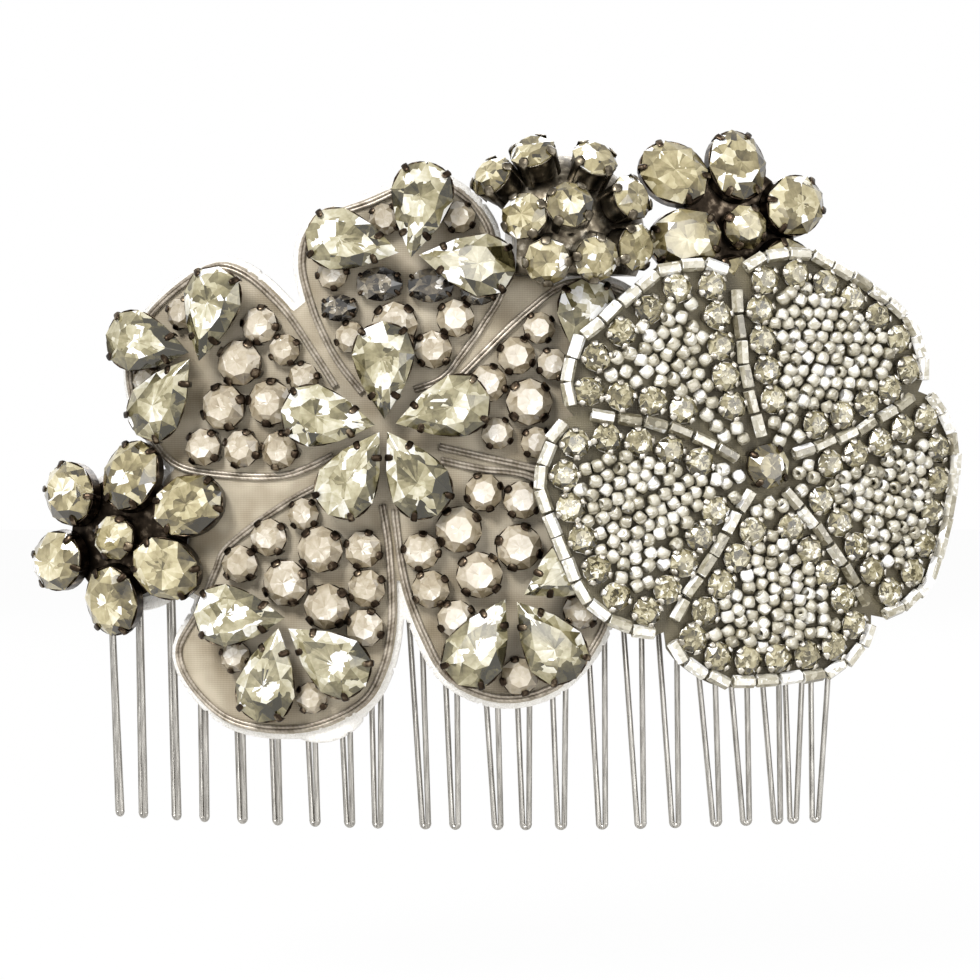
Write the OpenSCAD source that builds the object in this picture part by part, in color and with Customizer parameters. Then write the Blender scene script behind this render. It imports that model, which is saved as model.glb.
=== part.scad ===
// Decorative hair comb: a curved wire comb that carries a large satin flower set with stones,
// a beaded flower lying over it, two posies of oval stones and a cluster of round stones.
// Millimetres. +Z is up, the stones face -Y, and the origin is the middle of the comb's spine.
// The face is laid out flat, with u along the curve and v upwards, and is then bent round the curve.

/* [Comb] */
// Number of teeth
tooth_count = 22; // [12:1:24]
// Distance from tooth to tooth along the spine
tooth_pitch = 4.4; // [3.6:0.1:4.8]
// Length of a tooth below the middle of the spine
tooth_length = 37.3; // [28:0.1:45]
// Diameter of the tooth wire
wire_d = 0.7; // [0.5:0.05:0.9]
// Distance between the two legs of a tooth at its tip
tip_w = 0.8; // [0.75:0.05:1.3]
// Angle of a tooth's two legs to the spine where they leave it
top_turn = 55; // [50:1:90]
// Angle of a tooth's two legs to the spine at the tip
tip_turn = 20; // [0:1:60]
// How far the tips of the outermost teeth lean inwards
end_lean = 3; // [0:0.1:5]
// How much longer the last tooth on the right is than the first on the left
end_drop = 0.8; // [0:0.1:2]
// Diameter of the spine rod
spine_d = 2.4; // [1.8:0.1:3]
// Length of the spine rod beyond the outermost teeth
spine_over = 1.5; // [0.5:0.1:3]
// Radius of the curve that the felt's front follows
curve_r = 100; // [85:1:140]
// Number of thread loops that hold the felt to the spine
loop_count = 7; // [3:2:11]
// Diameter of the sewing thread
thread_d = 0.5; // [0.3:0.05:0.6]

/* [Large flower] */
// Thickness of the felt backing
felt_t = 1.2; // [0.8:0.1:2]
// How far the felt shows beyond the cords
felt_margin = 1.3; // [0.7:0.1:1.8]
// Thickness of the satin ground
satin_t = 0.4; // [0.2:0.05:0.6]
// How far the satin shows beyond the cords
satin_margin = 0.6; // [0.3:0.1:0.9]
// Diameter of the cord round each petal
cord_d = 0.9; // [0.6:0.05:1]
// Position of the flower's middle along the curve
flower_u = -9.2; // [-10:0.1:-8.5]
// Height of the flower's middle above the spine
flower_v = 11.3; // [10.5:0.1:12]
// Radius of the ground that joins the petals
joined_r = 18.5; // [15:0.5:20]

/* [Stones] */
// Diameters of the small, middle and large round stones
round_d = [3.3, 4, 5];
// Length of a pear stone
pear_l = 10.8; // [10:0.1:11.2]
// Width of a pear stone
pear_w = 7.2; // [6.4:0.1:7.4]
// How sharply a pear stone narrows to its point
pear_point = 1.2; // [0.8:0.1:1.6]
// Height of the underside of a pear stone's cup over the satin
pear_seat = 2.55; // [2.5:0.05:3]
// Height from the underside of a pear stone's cup to its rim
pear_cup_h = 1.1; // [0.9:0.05:1.3]
// Height of a pear stone above its rim
pear_crown_h = 1.2; // [0.8:0.05:1.3]
// Width of a pear cup's foot as a part of the cup's width
foot_part = 0.4; // [0.3:0.02:0.42]
// Width of a stone's flat top as a part of its own width
table_part = 0.58; // [0.45:0.01:0.7]
// Height of a round stone above its rim as a part of its diameter
crown_part = 0.19; // [0.12:0.01:0.2]
// Depth of a round stone below its edge as a part of its diameter
pavilion_part = 0.2; // [0.15:0.01:0.22]
// Thickness of a stone's upright edge
girdle_h = 0.2; // [0.1:0.05:0.3]
// Thickness of a cup's wall
cup_wall = 0.2; // [0.15:0.05:0.25]
// Thickness of a cup's floor
cup_floor = 0.3; // [0.2:0.05:0.5]
// Clearance between a stone and its cup
seat_gap = 0.05; // [0.02:0.01:0.08]
// Width of a claw as a part of the stone's width
claw_part = 0.17; // [0.1:0.01:0.22]
// Thickness of a claw
claw_t = 0.2; // [0.1:0.05:0.25]
// How far a claw reaches up the slope of its stone, as a part of the slope
claw_reach = 0.6; // [0.4:0.05:0.7]
// Width of a round cup's foot as a part of the stone's diameter
round_foot = 0.8; // [0.6:0.05:0.9]

/* [Dark stones] */
// Length of the dark oval stones, the larger and the smaller
dark_l = [5, 3.8];
// Width of the dark oval stones, the larger and the smaller
dark_w = [3.6, 2.8];
// Height of a dark stone's cup
dark_cup_h = 1.4; // [1.1:0.1:1.5]
// Height of a dark stone above its rim
dark_crown_h = 0.7; // [0.4:0.05:0.8]

/* [Beaded flower] */
// Position of the beaded flower's middle along the curve
beaded_u = 34.1; // [33.5:0.1:34.5]
// Height of the beaded flower's middle above the spine
beaded_v = 6.4; // [5.9:0.1:6.9]
// Distance from the middle to the notches between the lobes
notch_r = 22.8; // [22:0.1:23.5]
// Distance from the middle to the widest part of a lobe
lobe_r = 27.2; // [26:0.1:27.6]
// Depth of the hollow in the middle of a lobe's edge
lobe_dent = 1.1; // [0:0.1:2]
// Thickness of the felt pad under the beaded flower
pad_t = 5.7; // [5.6:0.1:7]
// How far that pad's edge lies inside the notches
pad_in = 9.3; // [9:0.1:12]
// How far the pad sits to the right of the flower's middle
pad_shift = 6; // [5:0.5:8]
// Thickness of the beaded flower's ground cloth
cloth_t = 0.5; // [0.3:0.1:0.8]
// Length of a bugle bead
bugle_l = 2.5; // [2:0.1:2.6]
// Diameter of a bugle bead
bugle_d = 1.4; // [1:0.05:1.5]
// Distance from bugle bead to bugle bead
bugle_pitch = 2.66; // [2.6:0.01:3]
// Diameter of the bore in a bead
bead_bore = 0.45; // [0.3:0.05:0.6]
// Diameter of a chain stone
chain_d = 2.9; // [2.4:0.05:3]
// Distance from chain stone to chain stone
chain_pitch = 3.6; // [3.55:0.01:4]
// Width of a chain cup's upright claw
chain_claw_d = 0.6; // [0.4:0.05:0.8]
// Diameter of a seed bead
seed_d = 1.35; // [1.2:0.05:1.38]
// Length of a seed bead along its thread
seed_l = 1.2; // [0.8:0.05:1.25]
// Distance from seed bead to seed bead along a row
seed_pitch = 1.3; // [1.28:0.01:2]
// Distance from row to row of seed beads
seed_row = 1.42; // [1.4:0.01:2]
// Diameter of the beaded flower's centre stone
beaded_centre_d = 4.8; // [4:0.1:5]

/* [Posies and cluster] */
// Position of the left posy's middle along the curve and above the spine
left_posy = [-41.6, -2.2];
// Position of the right posy's middle along the curve and above the spine
right_posy = [32.5, 34.9];
// Length of a posy's oval stone
oval_l = 8.2; // [7.4:0.1:8.4]
// Width of a posy's oval stone
oval_w = 6.7; // [6:0.1:6.8]
// Height of a posy's oval cup
oval_cup_h = 1.5; // [1.3:0.1:1.6]
// Height of an oval stone above its rim
oval_crown_h = 1.05; // [0.8:0.05:1.2]
// Diameter of a posy's centre stone
posy_centre_d = 5.2; // [4.2:0.1:5.4]
// Radius to which a posy's plate is domed
posy_dome_r = 32; // [30:0.5:40]
// Radius of a posy's plate
posy_plate_r = 7.4; // [6.6:0.1:8]
// Thickness of a posy's plate at its rim
posy_plate_t = 2.6; // [2.5:0.1:2.8]
// Position of the cluster's middle along the curve and above the spine
cluster_at = [11.8, 33.6];
// Diameter of a cluster stone
cluster_d = 5; // [4.2:0.1:5.1]
// Height of a cluster stone's cup
cluster_cup_h = 3.2; // [2.8:0.1:3.6]
// Radius to which the cluster's plate is domed
cluster_dome_r = 10.8; // [10.6:0.1:11.2]
// Height of the cluster's plate
cluster_dome_h = 6.3; // [6:0.1:6.6]
// Distance from the cluster's middle to its plate's straight lower side
cluster_cut = 4.5; // [4.4:0.1:4.8]
// Distance from the cluster's middle to its plate's straight left side
cluster_side = 6.2; // [6:0.1:6.4]
// Width of a cluster cup's foot as a part of the stone's diameter
cluster_foot = 0.7; // [0.5:0.05:0.75]

/* [Hidden] */
$fn = 48;
wrap_gap = 0.03;
spine_in = felt_t + wire_d + wrap_gap + spine_d / 2;
spine_r = curve_r - spine_in;
leg_r = ((spine_d + wire_d) / 2 + wrap_gap) / sin(top_turn);
cloth_top = pad_t + cloth_t;
chain_cup_r = chain_d / 2 + seat_gap + cup_wall;
bead_gap = 0.15;
divider_side = bugle_d / 2 + bead_gap + chain_cup_r;
edge_in = bugle_d + bead_gap + chain_cup_r;
chain_apart = 2 * chain_cup_r + bead_gap / 2;
pad_r = notch_r - pad_in;
cluster_rim_r = sqrt(2 * cluster_dome_r * cluster_dome_h - pow(cluster_dome_h, 2));
satin_back = felt_margin - satin_margin;
lip = 0.1;
base_part = 0.6;
claw_out = 0.05;
around = 360;
fine = 72;
outline_points = 16;
cord_sides = 7;
cord_steps = 4;
sheet_back = 40;
sheet_deep = 60;
tall = 200;

steel = "#8e8b85";
felt_white = "#f1eee8";
satin_taupe = "#b0a392";
cord_silver = "#cfc5b5";
champagne = "#d0cba6";
ivory = "#dccfc0";
smoke = "#4a4742";
oxide = "#4a3f33";
bead_clear = "#b9b3a7";
thread_white = "#e6e1d8";

// How far each tooth's tip is bent to the right, hand chosen
tip_bends = [-1.2, -1.4, -0.5, -0.6, 0.4, 0.8, 1.3, 1.3, 0.4, 1.8, 1, 1.7, 0.7, 0.6, 1.3, 1.8, 2, 3.2,
    3.2, 3.6, 2.1, 1.7];

// Line of each petal's cord from the flower's middle outwards and back, hand drawn, as [u, v]
upper_left_line = [[-6.2, 4.6], [-8.8, 8.6], [-12.8, 14.2], [-18, 18.5], [-22.5, 18.8], [-29, 14.5],
    [-32.5, 9.5], [-32.5, 4], [-29.8, -1.2], [-26, -4.8], [-19, -6], [-12, -5.9], [-6.5, -3.6]];
top_line = [[3.2, 4.2], [6.4, 5.4], [8.6, 8], [11.4, 12], [13.6, 16.2], [12.3, 19.8], [11.9, 23.5],
    [9, 27.2], [4.5, 29], [-2, 26.5], [-8.5, 24], [-10.3, 20], [-9.2, 14.5], [-6.4, 8.4], [-3, 3.9]];
right_line = [[6.2, -2.6], [13.7, -4.3], [21, -5.6], [27, -4.5], [31.5, 1], [33.5, 8], [30, 14.5],
    [25, 16.9], [20.5, 16.4], [17, 13.8], [14.3, 11.4], [10.9, 8], [8.2, 5.4], [5.2, 3.7]];
lower_right_line = [[0.9, -10], [1.2, -13], [2.2, -19], [4.4, -25], [7.5, -30], [13.5, -32.5],
    [20, -31], [25, -25.5], [26.5, -19], [24.5, -12], [17.5, -6.4], [11, -5.2], [6.4, -4.2]];
lower_left_line = [[-7.5, -6.8], [-13, -9.8], [-19.5, -14.5], [-21.2, -17.5], [-23.5, -22.5],
    [-26, -27], [-24.5, -31], [-20, -35], [-14.5, -36.3], [-8.5, -35.8], [-3, -33], [-0.6, -29],
    [0.4, -24.5], [0.5, -20], [0.1, -14], [-0.6, -9.5]];
petal_lines = [upper_left_line, top_line, right_line, lower_right_line, lower_left_line];

// Round stones of each petal from the flower's middle, as [u, v, size]
upper_left_rounds = [[-25.3, 13.6, 0], [-29.9, 5.6, 0], [-15.2, 12, 1], [-12.2, 9, 0],
    [-17.7, 7.5, 2], [-19.7, 2.2, 2], [-13.9, 2.7, 2], [-9.9, 5.6, 0], [-22.4, -2.6, 1],
    [-17.5, -2.8, 1], [-12.8, -3, 1]];
top_rounds = [[-0.2, 24.4, 0], [8.6, 24.6, 0], [-6.4, 18, 0], [1, 11.8, 2], [8.1, 12.6, 1],
    [-4.2, 10.4, 0], [5.5, 8.9, 1]];
right_rounds = [[15.2, 8.2, 1], [11.9, 4.9, 1], [16.7, 2.7, 2], [13, -1, 0], [17.6, -2.1, 0],
    [17.9, 11.5, 0], [19.5, 7.2, 0]];
lower_right_rounds = [[11.4, -8, 1], [15.9, -8.9, 1], [8.5, -12.4, 2], [15.5, -14.5, 2],
    [4.1, -15, 1], [10.9, -17.8, 2], [5.2, -19.5, 1], [8.2, -23, 1], [15.6, -29.8, 1],
    [22.9, -22, 1]];
lower_left_rounds = [[-9.9, -10.6, 0], [-14.1, -13.4, 1], [-17.7, -16.6, 1], [-7.8, -14.8, 2],
    [-12, -18.8, 2], [-7, -21.6, 2], [-2.7, -14.8, 1], [-2.3, -19.4, 1], [-2.5, -24.1, 1],
    [-18.3, -27.7, 0], [-8.9, -32.5, 0]];

// Pear stones from the flower's middle, as [u, v, direction of the round end]
centre_pear_places = [[0, 6.4, 91], [-6.4, 0.8, 171], [-3.4, -5.8, 238], [3.3, -5.8, 301], [6.7, 1.7, 16]];
upper_left_pears = [[-20.6, 13.3, 77], [-28.5, 9.9, 168], [-26.4, 3.4, 232]];
top_pears = [[-3.6, 21.5, 167], [4.1, 25.3, 80], [9.5, 19, -9]];
right_pears = [[23.4, 11.6, 95], [29.6, 6.2, 10], [25.4, -0.6, -75]];
lower_right_pears = [[11.1, -25.6, 241], [18.5, -25.4, -52], [20.7, -17.2, 30]];
lower_left_pears = [[-16.9, -22.7, 178], [-13.4, -29.7, 257], [-6.5, -27.5, -36]];

// Dark oval stones from the flower's middle, as [u, v, which size]
dark_places = [[-5.6, 13.9, 1], [-0.8, 16.7, 0], [5.2, 16.5, 0], [10.8, 15.8, 1]];

// Oval stones of a posy, as [direction, distance from its middle]
left_ovals = [[143, 9], [77, 7.8], [23, 10.2], [-29, 7.6], [-97, 7.8], [-162, 9.5]];
right_ovals = [[143, 10.7], [95, 7.6], [23, 7.6], [192, 7.6], [-39, 8.1], [-100, 7.9]];

// Cluster stones, as [angle from the plate's middle, direction]
cluster_places = [[55, 143], [50, 114], [42, 72], [26, 163], [13, 101], [36.5, 31], [20, 228],
    [17, 309], [34, -12]];

// Rounds of felt that join the petals and back the other pieces, as [u, v, radius]
beaded_felt_shift = 2;
beaded_felt_in = 4;
left_bridge = [11.2, 1.5];
left_bridge_r = 9.5;
upper_bridge = [15.2, 14.2];
upper_bridge_r = 5;
low_hem = [-8.4, -31.4];
low_hem_r = 6.6;
left_felt_r = 9;
right_felt_drop = 4;
right_felt_r = 8.5;
cluster_felt_r = 7;
felt_rounds = [[flower_u, flower_v, joined_r],
    [beaded_u + beaded_felt_shift, beaded_v, notch_r - beaded_felt_in],
    [left_posy[0], left_posy[1], left_felt_r],
    [left_posy[0] + left_bridge[0], left_posy[1] + left_bridge[1], left_bridge_r],
    [flower_u + upper_bridge[0], flower_v + upper_bridge[1], upper_bridge_r],
    [flower_u + low_hem[0], flower_v + low_hem[1], low_hem_r],
    [right_posy[0], right_posy[1] - right_felt_drop, right_felt_r],
    [cluster_at[0], cluster_at[1], cluster_felt_r]];
satin_rounds = [felt_rounds[0], felt_rounds[3], felt_rounds[4]];

// Directions of the beaded flower's five dividing lines
divider_turns = [24, 99, 165, 239, 308];
// How far the middle of each of those lines bows to its left
divider_bows = [-0.8, 0.7, -1.4, 0, 0.6];
divider_from = 3.4;
lobe_count = len(divider_turns);

// Angle round the curve at a distance along it
function turn(u) = u / curve_r * 180 / PI;

// Point on the curved face, a height in front of the felt
function wrapped(u, v, lift) = [(curve_r + lift) * sin(turn(u)),
    spine_r - (curve_r + lift) * cos(turn(u)), v];

// Smooth line through hand drawn points
function blend(a, b, c, d, t) = 0.5 * (2 * b + (c - a) * t + (2 * a - 5 * b + 4 * c - d) * t * t
    + (3 * b - a - 3 * c + d) * t * t * t);
function smooth(p) = [for (i = [0 : len(p) - 2], k = [0 : cord_steps - 1])
    blend(p[max(i - 1, 0)], p[i], p[i + 1], p[min(i + 2, len(p) - 1)], k / cord_steps), p[len(p) - 1]];

// Direction square to a line, away from the petal's inside
function away(q, i) = let (d = q[min(i + 1, len(q) - 1)] - q[max(i - 1, 0)]) [d[1], -d[0]] / norm(d);
function grown(q, m) = [for (i = [0 : len(q) - 1]) q[i] + m * away(q, i)];
function disc(u, v, r) = [for (a = [0 : around / fine : around - 1]) [u + r * cos(a), v + r * sin(a)]];
function line_length(q, i = 0) = i + 1 >= len(q) ? 0 : norm(q[i + 1] - q[i]) + line_length(q, i + 1);

// Outlines of stones, lengthwise along the first axis, the pear with its point at the far end
function oval_line(l, w) = [for (i = [0 : outline_points - 1]) let (a = around * i / outline_points)
    [l / 2 * cos(a), w / 2 * sin(a)]];
pear_peak_c = -pear_point / (2 + pear_point);
pear_peak = sqrt(1 - pow(pear_peak_c, 2)) * pow(sqrt((1 - pear_peak_c) / 2), pear_point);
function pear_spot(l, w, a) = [l / 2 * cos(a), w / 2 * sin(a) * pow(sin(a / 2), pear_point) / pear_peak];
function pear_line(l, w) = [for (i = [0 : outline_points - 1])
    pear_spot(l, w, around * i / outline_points)];

// Edge of the beaded flower: lobe k, and a place t across it from 0 to 1
function lobe_span(k) = k + 1 < lobe_count ? divider_turns[k + 1] - divider_turns[k]
    : divider_turns[0] + around - divider_turns[k];
function lobe_turn(k, t) = divider_turns[k] + lobe_span(k) * t;
function edge_r(t) = notch_r + (lobe_r - notch_r) * sqrt(max(0, sin(180 * t)))
    - lobe_dent * max(0, 1 - pow((t - 0.5) / 0.22, 2));
function edge_spot(k, t, inset) = (edge_r(t) - inset) * [cos(lobe_turn(k, t)), sin(lobe_turn(k, t))];
edge_steps = 20;
function lobe_line(k, inset, from, to) = [for (i = [0 : edge_steps])
    edge_spot(k, from + (to - from) * i / edge_steps, inset)];
// Place of a point across lobe k, from -0.5 to 0.5
function in_lobe(k, p) = let (d = atan2(p[1], p[0]) - lobe_turn(k, 0.5))
    (d - around * round(d / around)) / lobe_span(k);
cloth_line = [for (k = [0 : lobe_count - 1], i = [0 : edge_steps - 1]) edge_spot(k, i / edge_steps, 0)];

// Places at equal distances along a line, each as [point, direction]
function run_up(q) = [for (i = 0, s = 0; i < len(q); s = s + (i + 1 < len(q) ? norm(q[i + 1] - q[i]) : 0),
    i = i + 1) [s, i]];
function place_on(q, s) = let (f = lookup(s, run_up(q)), i = min(floor(f), len(q) - 2), d = q[i + 1] - q[i])
    [q[i] + d * (f - i), atan2(d[1], d[0])];
function spaced(q, pitch) = let (total = line_length(q), n = floor(total / pitch))
    [for (j = [0 : n - 1]) place_on(q, (j + 0.5) * total / n)];

edge_end = 0.035;
edge_places = [for (k = [0 : lobe_count - 1])
    each spaced(lobe_line(k, bugle_d / 2, edge_end, 1 - edge_end), bugle_pitch)];

// Dividing line k, or a line beside it
function bow(k, s) = divider_bows[k] * sin(180 * (s - divider_from) / (notch_r - divider_from));
function divider_spot(k, s, side) = let (a = divider_turns[k], w = side + bow(k, s))
    [s * cos(a) - w * sin(a), s * sin(a) + w * cos(a)];
function divider_line(k, side, from, to) = [for (i = [0 : edge_steps])
    divider_spot(k, from + (to - from) * i / edge_steps, side)];
divider_to = notch_r - bugle_d - bead_gap;
divider_places = [for (k = [0 : lobe_count - 1])
    each spaced(divider_line(k, 0, divider_from, divider_to), bugle_pitch)];

// Distance from a point to the nearest dividing line
function from_divider(k, p) = let (a = divider_turns[k], s = p[0] * cos(a) + p[1] * sin(a))
    s > 0 ? abs(p[1] * cos(a) - p[0] * sin(a) - bow(k, s)) : norm(p);
function from_dividers(p) = min([for (k = [0 : lobe_count - 1]) from_divider(k, p)]);

// Points of a list that keep a distance from those before them
function nearest(p, spots) = len(spots) > 0 ? min([for (q = spots) norm(p - q)]) : tall;
function apart(list, gap, i = 0, kept = []) = i == len(list) ? kept
    : apart(list, gap, i + 1, nearest(list[i], kept) < gap ? kept : concat(kept, [list[i]]));

// Chain stones along the edge and then along both sides of the dividing lines, inwards
edge_clear = 0.05;
side_slack = 0.02;
chain_step = 0.2;
chain_from = beaded_centre_d / 2 + cup_wall + seat_gap + chain_cup_r;
chain_to = notch_r - edge_in + chain_pitch / 2;
edge_chain = [for (k = [0 : lobe_count - 1])
    each [for (p = spaced(lobe_line(k, edge_in, edge_clear, 1 - edge_clear), chain_pitch)) p[0]]];
divider_chain = [for (k = [0 : lobe_count - 1], side = [-1, 1])
    each [for (p = spaced(divider_line(k, side * divider_side, chain_to, chain_from), chain_step)) p[0]]];
chain_places = apart([for (p = concat(edge_chain, divider_chain))
    if (from_dividers(p) > divider_side - side_slack && norm(p) > chain_from + bead_gap) p], chain_apart);

// Seed beads of a lobe, in rows along its middle line, wherever the chain stones leave room
seed_from_chain = chain_cup_r + seed_d / 2 + bead_gap / 3;
seed_from_divider = (bugle_d + seed_d) / 2 + bead_gap;
seed_to = lobe_r - lobe_dent - edge_in;
seed_half = floor(seed_to / 2 / seed_row);
function on_lobe(k, s, w) = let (a = lobe_turn(k, 0.5)) [s * cos(a) - w * sin(a), s * sin(a) + w * cos(a)];
function seed_line(k, j) = [for (s = [chain_from + abs(j) % 2 * seed_pitch / 2 : seed_pitch : seed_to])
    on_lobe(k, s, j * seed_row)];
function seed_rows(k) = [for (j = [-seed_half : seed_half], p = seed_line(k, j))
    if (abs(in_lobe(k, p)) < 0.5 && norm(p) < seed_to && from_dividers(p) > seed_from_divider
        && nearest(p, chain_places) > seed_from_chain) p];

// Stands a child on the curved face: its own axes are along the curve, up and out of the face
module on_face(u, v, lift) {
    translate([0, spine_r, v])
        rotate([0, 0, turn(u)])
            translate([0, -(curve_r + lift), 0])
                rotate([90, 0, 0])
                    children();
}

module on_flower(place, lift) {
    on_face(flower_u + place[0], flower_v + place[1], lift)
        children();
}

module on_beaded(place, lift) {
    on_face(beaded_u + place[0], beaded_v + place[1], lift)
        children();
}

// Flat outlines bent round the curve as a sheet
module sheet(outlines, lift, t) {
    intersection() {
        translate([0, sheet_back, 0])
            rotate([90, 0, 0])
                linear_extrude(sheet_deep)
                    for (q = outlines)
                        polygon([for (p = q) [(curve_r + lift + t) * sin(turn(p[0])), p[1]]]);
        translate([0, spine_r, -tall / 2])
            difference() {
                cylinder(r = curve_r + lift + t, h = tall, $fn = 200);
                translate([0, 0, -1])
                    cylinder(r = curve_r + lift, h = tall + 2, $fn = 200);
            }
    }
}

// Straight piece of wire between two points
module rod(a, b, d) {
    way = b - a;
    translate(a)
        rotate([0, acos(way[2] / norm(way)), atan2(way[1], way[0])])
            cylinder(d = d, h = norm(way), $fn = 24);
}

// Half ring of wire, standing up, open below
module half_ring(r, d) {
    rotate([90, 0, 0])
        rotate_extrude(angle = 180)
            translate([r, 0])
                circle(d = d, $fn = 24);
}

// Solid through scaled copies of an outline, as [height, scale]
module ring_solid(line, rings) {
    n = len(line);
    last = len(rings) - 1;
    spots = [for (r = rings, p = line) [p[0] * r[1], p[1] * r[1], r[0]]];
    under = [[for (i = [0 : n - 1]) i]];
    over = [[for (i = [0 : n - 1]) last * n + n - 1 - i]];
    sides = [for (r = [0 : last - 1], i = [0 : n - 1])
        [r * n + i, (r + 1) * n + i, (r + 1) * n + (i + 1) % n, r * n + (i + 1) % n]];
    polyhedron(spots, concat(under, over, sides));
}

// Flat claw that lies up the slope of a stone: from an edge point, square to the edge
module claw(spot, out, run, rise, rim, w) {
    lean = atan2(rise, run);
    reach = claw_reach * norm([run, rise]);
    root = (cup_wall - claw_t * sin(lean)) / cos(lean);
    translate([spot[0] + seat_gap * out[0], spot[1] + seat_gap * out[1], rim])
        rotate([0, lean, atan2(out[1], out[0])])
            translate([-reach, -w / 2, 0])
                cube([reach + root, w, claw_t]);
}

function round_rim(d) = cup_floor + pavilion_part * d + girdle_h;

// Round stone, its edge level with a rim
module round_stone(d, rim) {
    rotate_extrude()
        polygon([[0, rim - girdle_h - pavilion_part * d], [d / 2, rim - girdle_h], [d / 2, rim],
            [d / 2 * table_part, rim + crown_part * d], [0, rim + crown_part * d]]);
}

// Room for a round stone in its cup
module round_pocket(d, rim) {
    rotate_extrude()
        polygon([[0, rim - girdle_h - pavilion_part * d - seat_gap],
            [d / 2 + seat_gap, rim - girdle_h - seat_gap], [d / 2 + seat_gap, rim + d], [0, rim + d]]);
}

// Cup of a round stone with four claws
module round_cup(d, rim, foot) {
    difference() {
        cylinder(r1 = d / 2 * foot, r2 = d / 2 + seat_gap + cup_wall, h = rim + lip);
        round_pocket(d, rim);
    }
    for (a = [45 : 90 : 315])
        claw(d / 2 * [cos(a), sin(a)], [cos(a), sin(a)], d / 2 * (1 - table_part), crown_part * d, rim,
            claw_part * d);
}

// Stone of any outline that rests on a cup's floor
module fancy_stone(line, floor_z, rim, crown) {
    ring_solid(line, [[floor_z, base_part], [rim - girdle_h, 1], [rim, 1], [rim + crown, table_part]]);
}

function scaled(line, w, more) = [for (p = line) p * (1 + 2 * more / w)];

// Cup of a stone of any outline, on a narrower foot, with a claw at each given side of the outline
module fancy_cup(line, w, under, rim, crown, sides) {
    difference() {
        union() {
            translate([0, 0, under])
                linear_extrude(rim + lip - under)
                    polygon(scaled(line, w, seat_gap + cup_wall));
            if (under > 0)
                linear_extrude(under + cup_floor / 2)
                    polygon(line * foot_part);
        }
        translate([0, 0, under + cup_floor])
            linear_extrude(rim)
                polygon(scaled(line, w, seat_gap));
    }
    for (i = sides) {
        spot = (line[i] + line[i + 1]) / 2;
        way = line[i + 1] - line[i];
        out = [way[1], -way[0]] / norm(way);
        claw(spot, out, (1 - table_part) * (spot * out), crown, rim, claw_part * w);
    }
}

pear_rim = pear_seat + pear_cup_h;
pear_claws = [2, 6, 9, 13];
oval_claws = [1, 6, 9, 14];

module round_stones(places) {
    color(ivory)
        for (p = places)
            on_flower(p, satin_t)
                round_stone(round_d[p[2]], round_rim(round_d[p[2]]));
}

module round_cups(places) {
    color(oxide)
        for (p = places)
            on_flower(p, satin_t)
                round_cup(round_d[p[2]], round_rim(round_d[p[2]]), round_foot);
}

module pear_stones(places) {
    color(champagne)
        for (p = places)
            on_flower(p, satin_t)
                rotate([0, 0, p[2] + 180])
                    fancy_stone(pear_line(pear_l, pear_w), pear_seat + cup_floor, pear_rim, pear_crown_h);
}

module pear_cups(places) {
    color(oxide)
        for (p = places)
            on_flower(p, satin_t)
                rotate([0, 0, p[2] + 180])
                    fancy_cup(pear_line(pear_l, pear_w), pear_w, pear_seat, pear_rim, pear_crown_h,
                        pear_claws);
}

// Cord laid along a petal's line on the satin
module petal_cord(line) {
    q = smooth(line);
    n = len(q);
    r = cord_d / 2;
    spots = [for (i = [0 : n - 1], k = [0 : cord_sides - 1]) let (a = around * k / cord_sides,
        p = q[i] + r * cos(a) * away(q, i))
        wrapped(flower_u + p[0], flower_v + p[1], satin_t + r + r * sin(a))];
    first = [[for (k = [0 : cord_sides - 1]) cord_sides - 1 - k]];
    end = [[for (k = [0 : cord_sides - 1]) (n - 1) * cord_sides + k]];
    sides = [for (i = [0 : n - 2], k = [0 : cord_sides - 1])
        [i * cord_sides + k, i * cord_sides + (k + 1) % cord_sides,
            (i + 1) * cord_sides + (k + 1) % cord_sides, (i + 1) * cord_sides + k]];
    color(cord_silver)
        polyhedron(spots, concat(first, end, sides));
}

module comb_spine() {
    half = (tooth_count - 1) / 2 * tooth_pitch + spine_over;
    ends = half / spine_r * 180 / PI;
    color(steel)
        translate([0, spine_r, 0])
            rotate([0, 0, -90 - ends])
                rotate_extrude(angle = 2 * ends, $fn = 200)
                    translate([spine_r, 0])
                        circle(d = spine_d, $fn = 32);
}

// One tooth: two legs that meet in a bend at the tip and in a bend over the spine
module tooth(lean, length) {
    top = leg_r * [cos(top_turn), -sin(top_turn), 0];
    tip = tip_w / 2 * [cos(tip_turn), -sin(tip_turn), 0];
    low = [lean, 0, tip_w / 2 + wire_d / 2 - length];
    joint = wire_d * 1.04;
    for (s = [-1, 1]) {
        rod(s * top, low + s * tip, wire_d);
        translate(s * top)
            sphere(d = joint, $fn = 24);
        translate(low + s * tip)
            sphere(d = joint, $fn = 24);
    }
    rotate([0, 0, -top_turn])
        half_ring(leg_r, wire_d);
    translate(low)
        rotate([0, 0, -tip_turn])
            mirror([0, 0, 1])
                half_ring(tip_w / 2, wire_d);
}

module comb_teeth() {
    middle = (tooth_count - 1) / 2;
    color(steel)
        for (i = [0 : tooth_count - 1])
            translate([0, spine_r, 0])
                rotate([0, 0, (i - middle) * tooth_pitch / spine_r * 180 / PI])
                    translate([0, -spine_r, 0])
                        tooth(tip_bends[i % len(tip_bends)] - end_lean * pow((i - middle) / middle, 3),
                            tooth_length + end_drop * (i - middle) / middle / 2);
}

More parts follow.
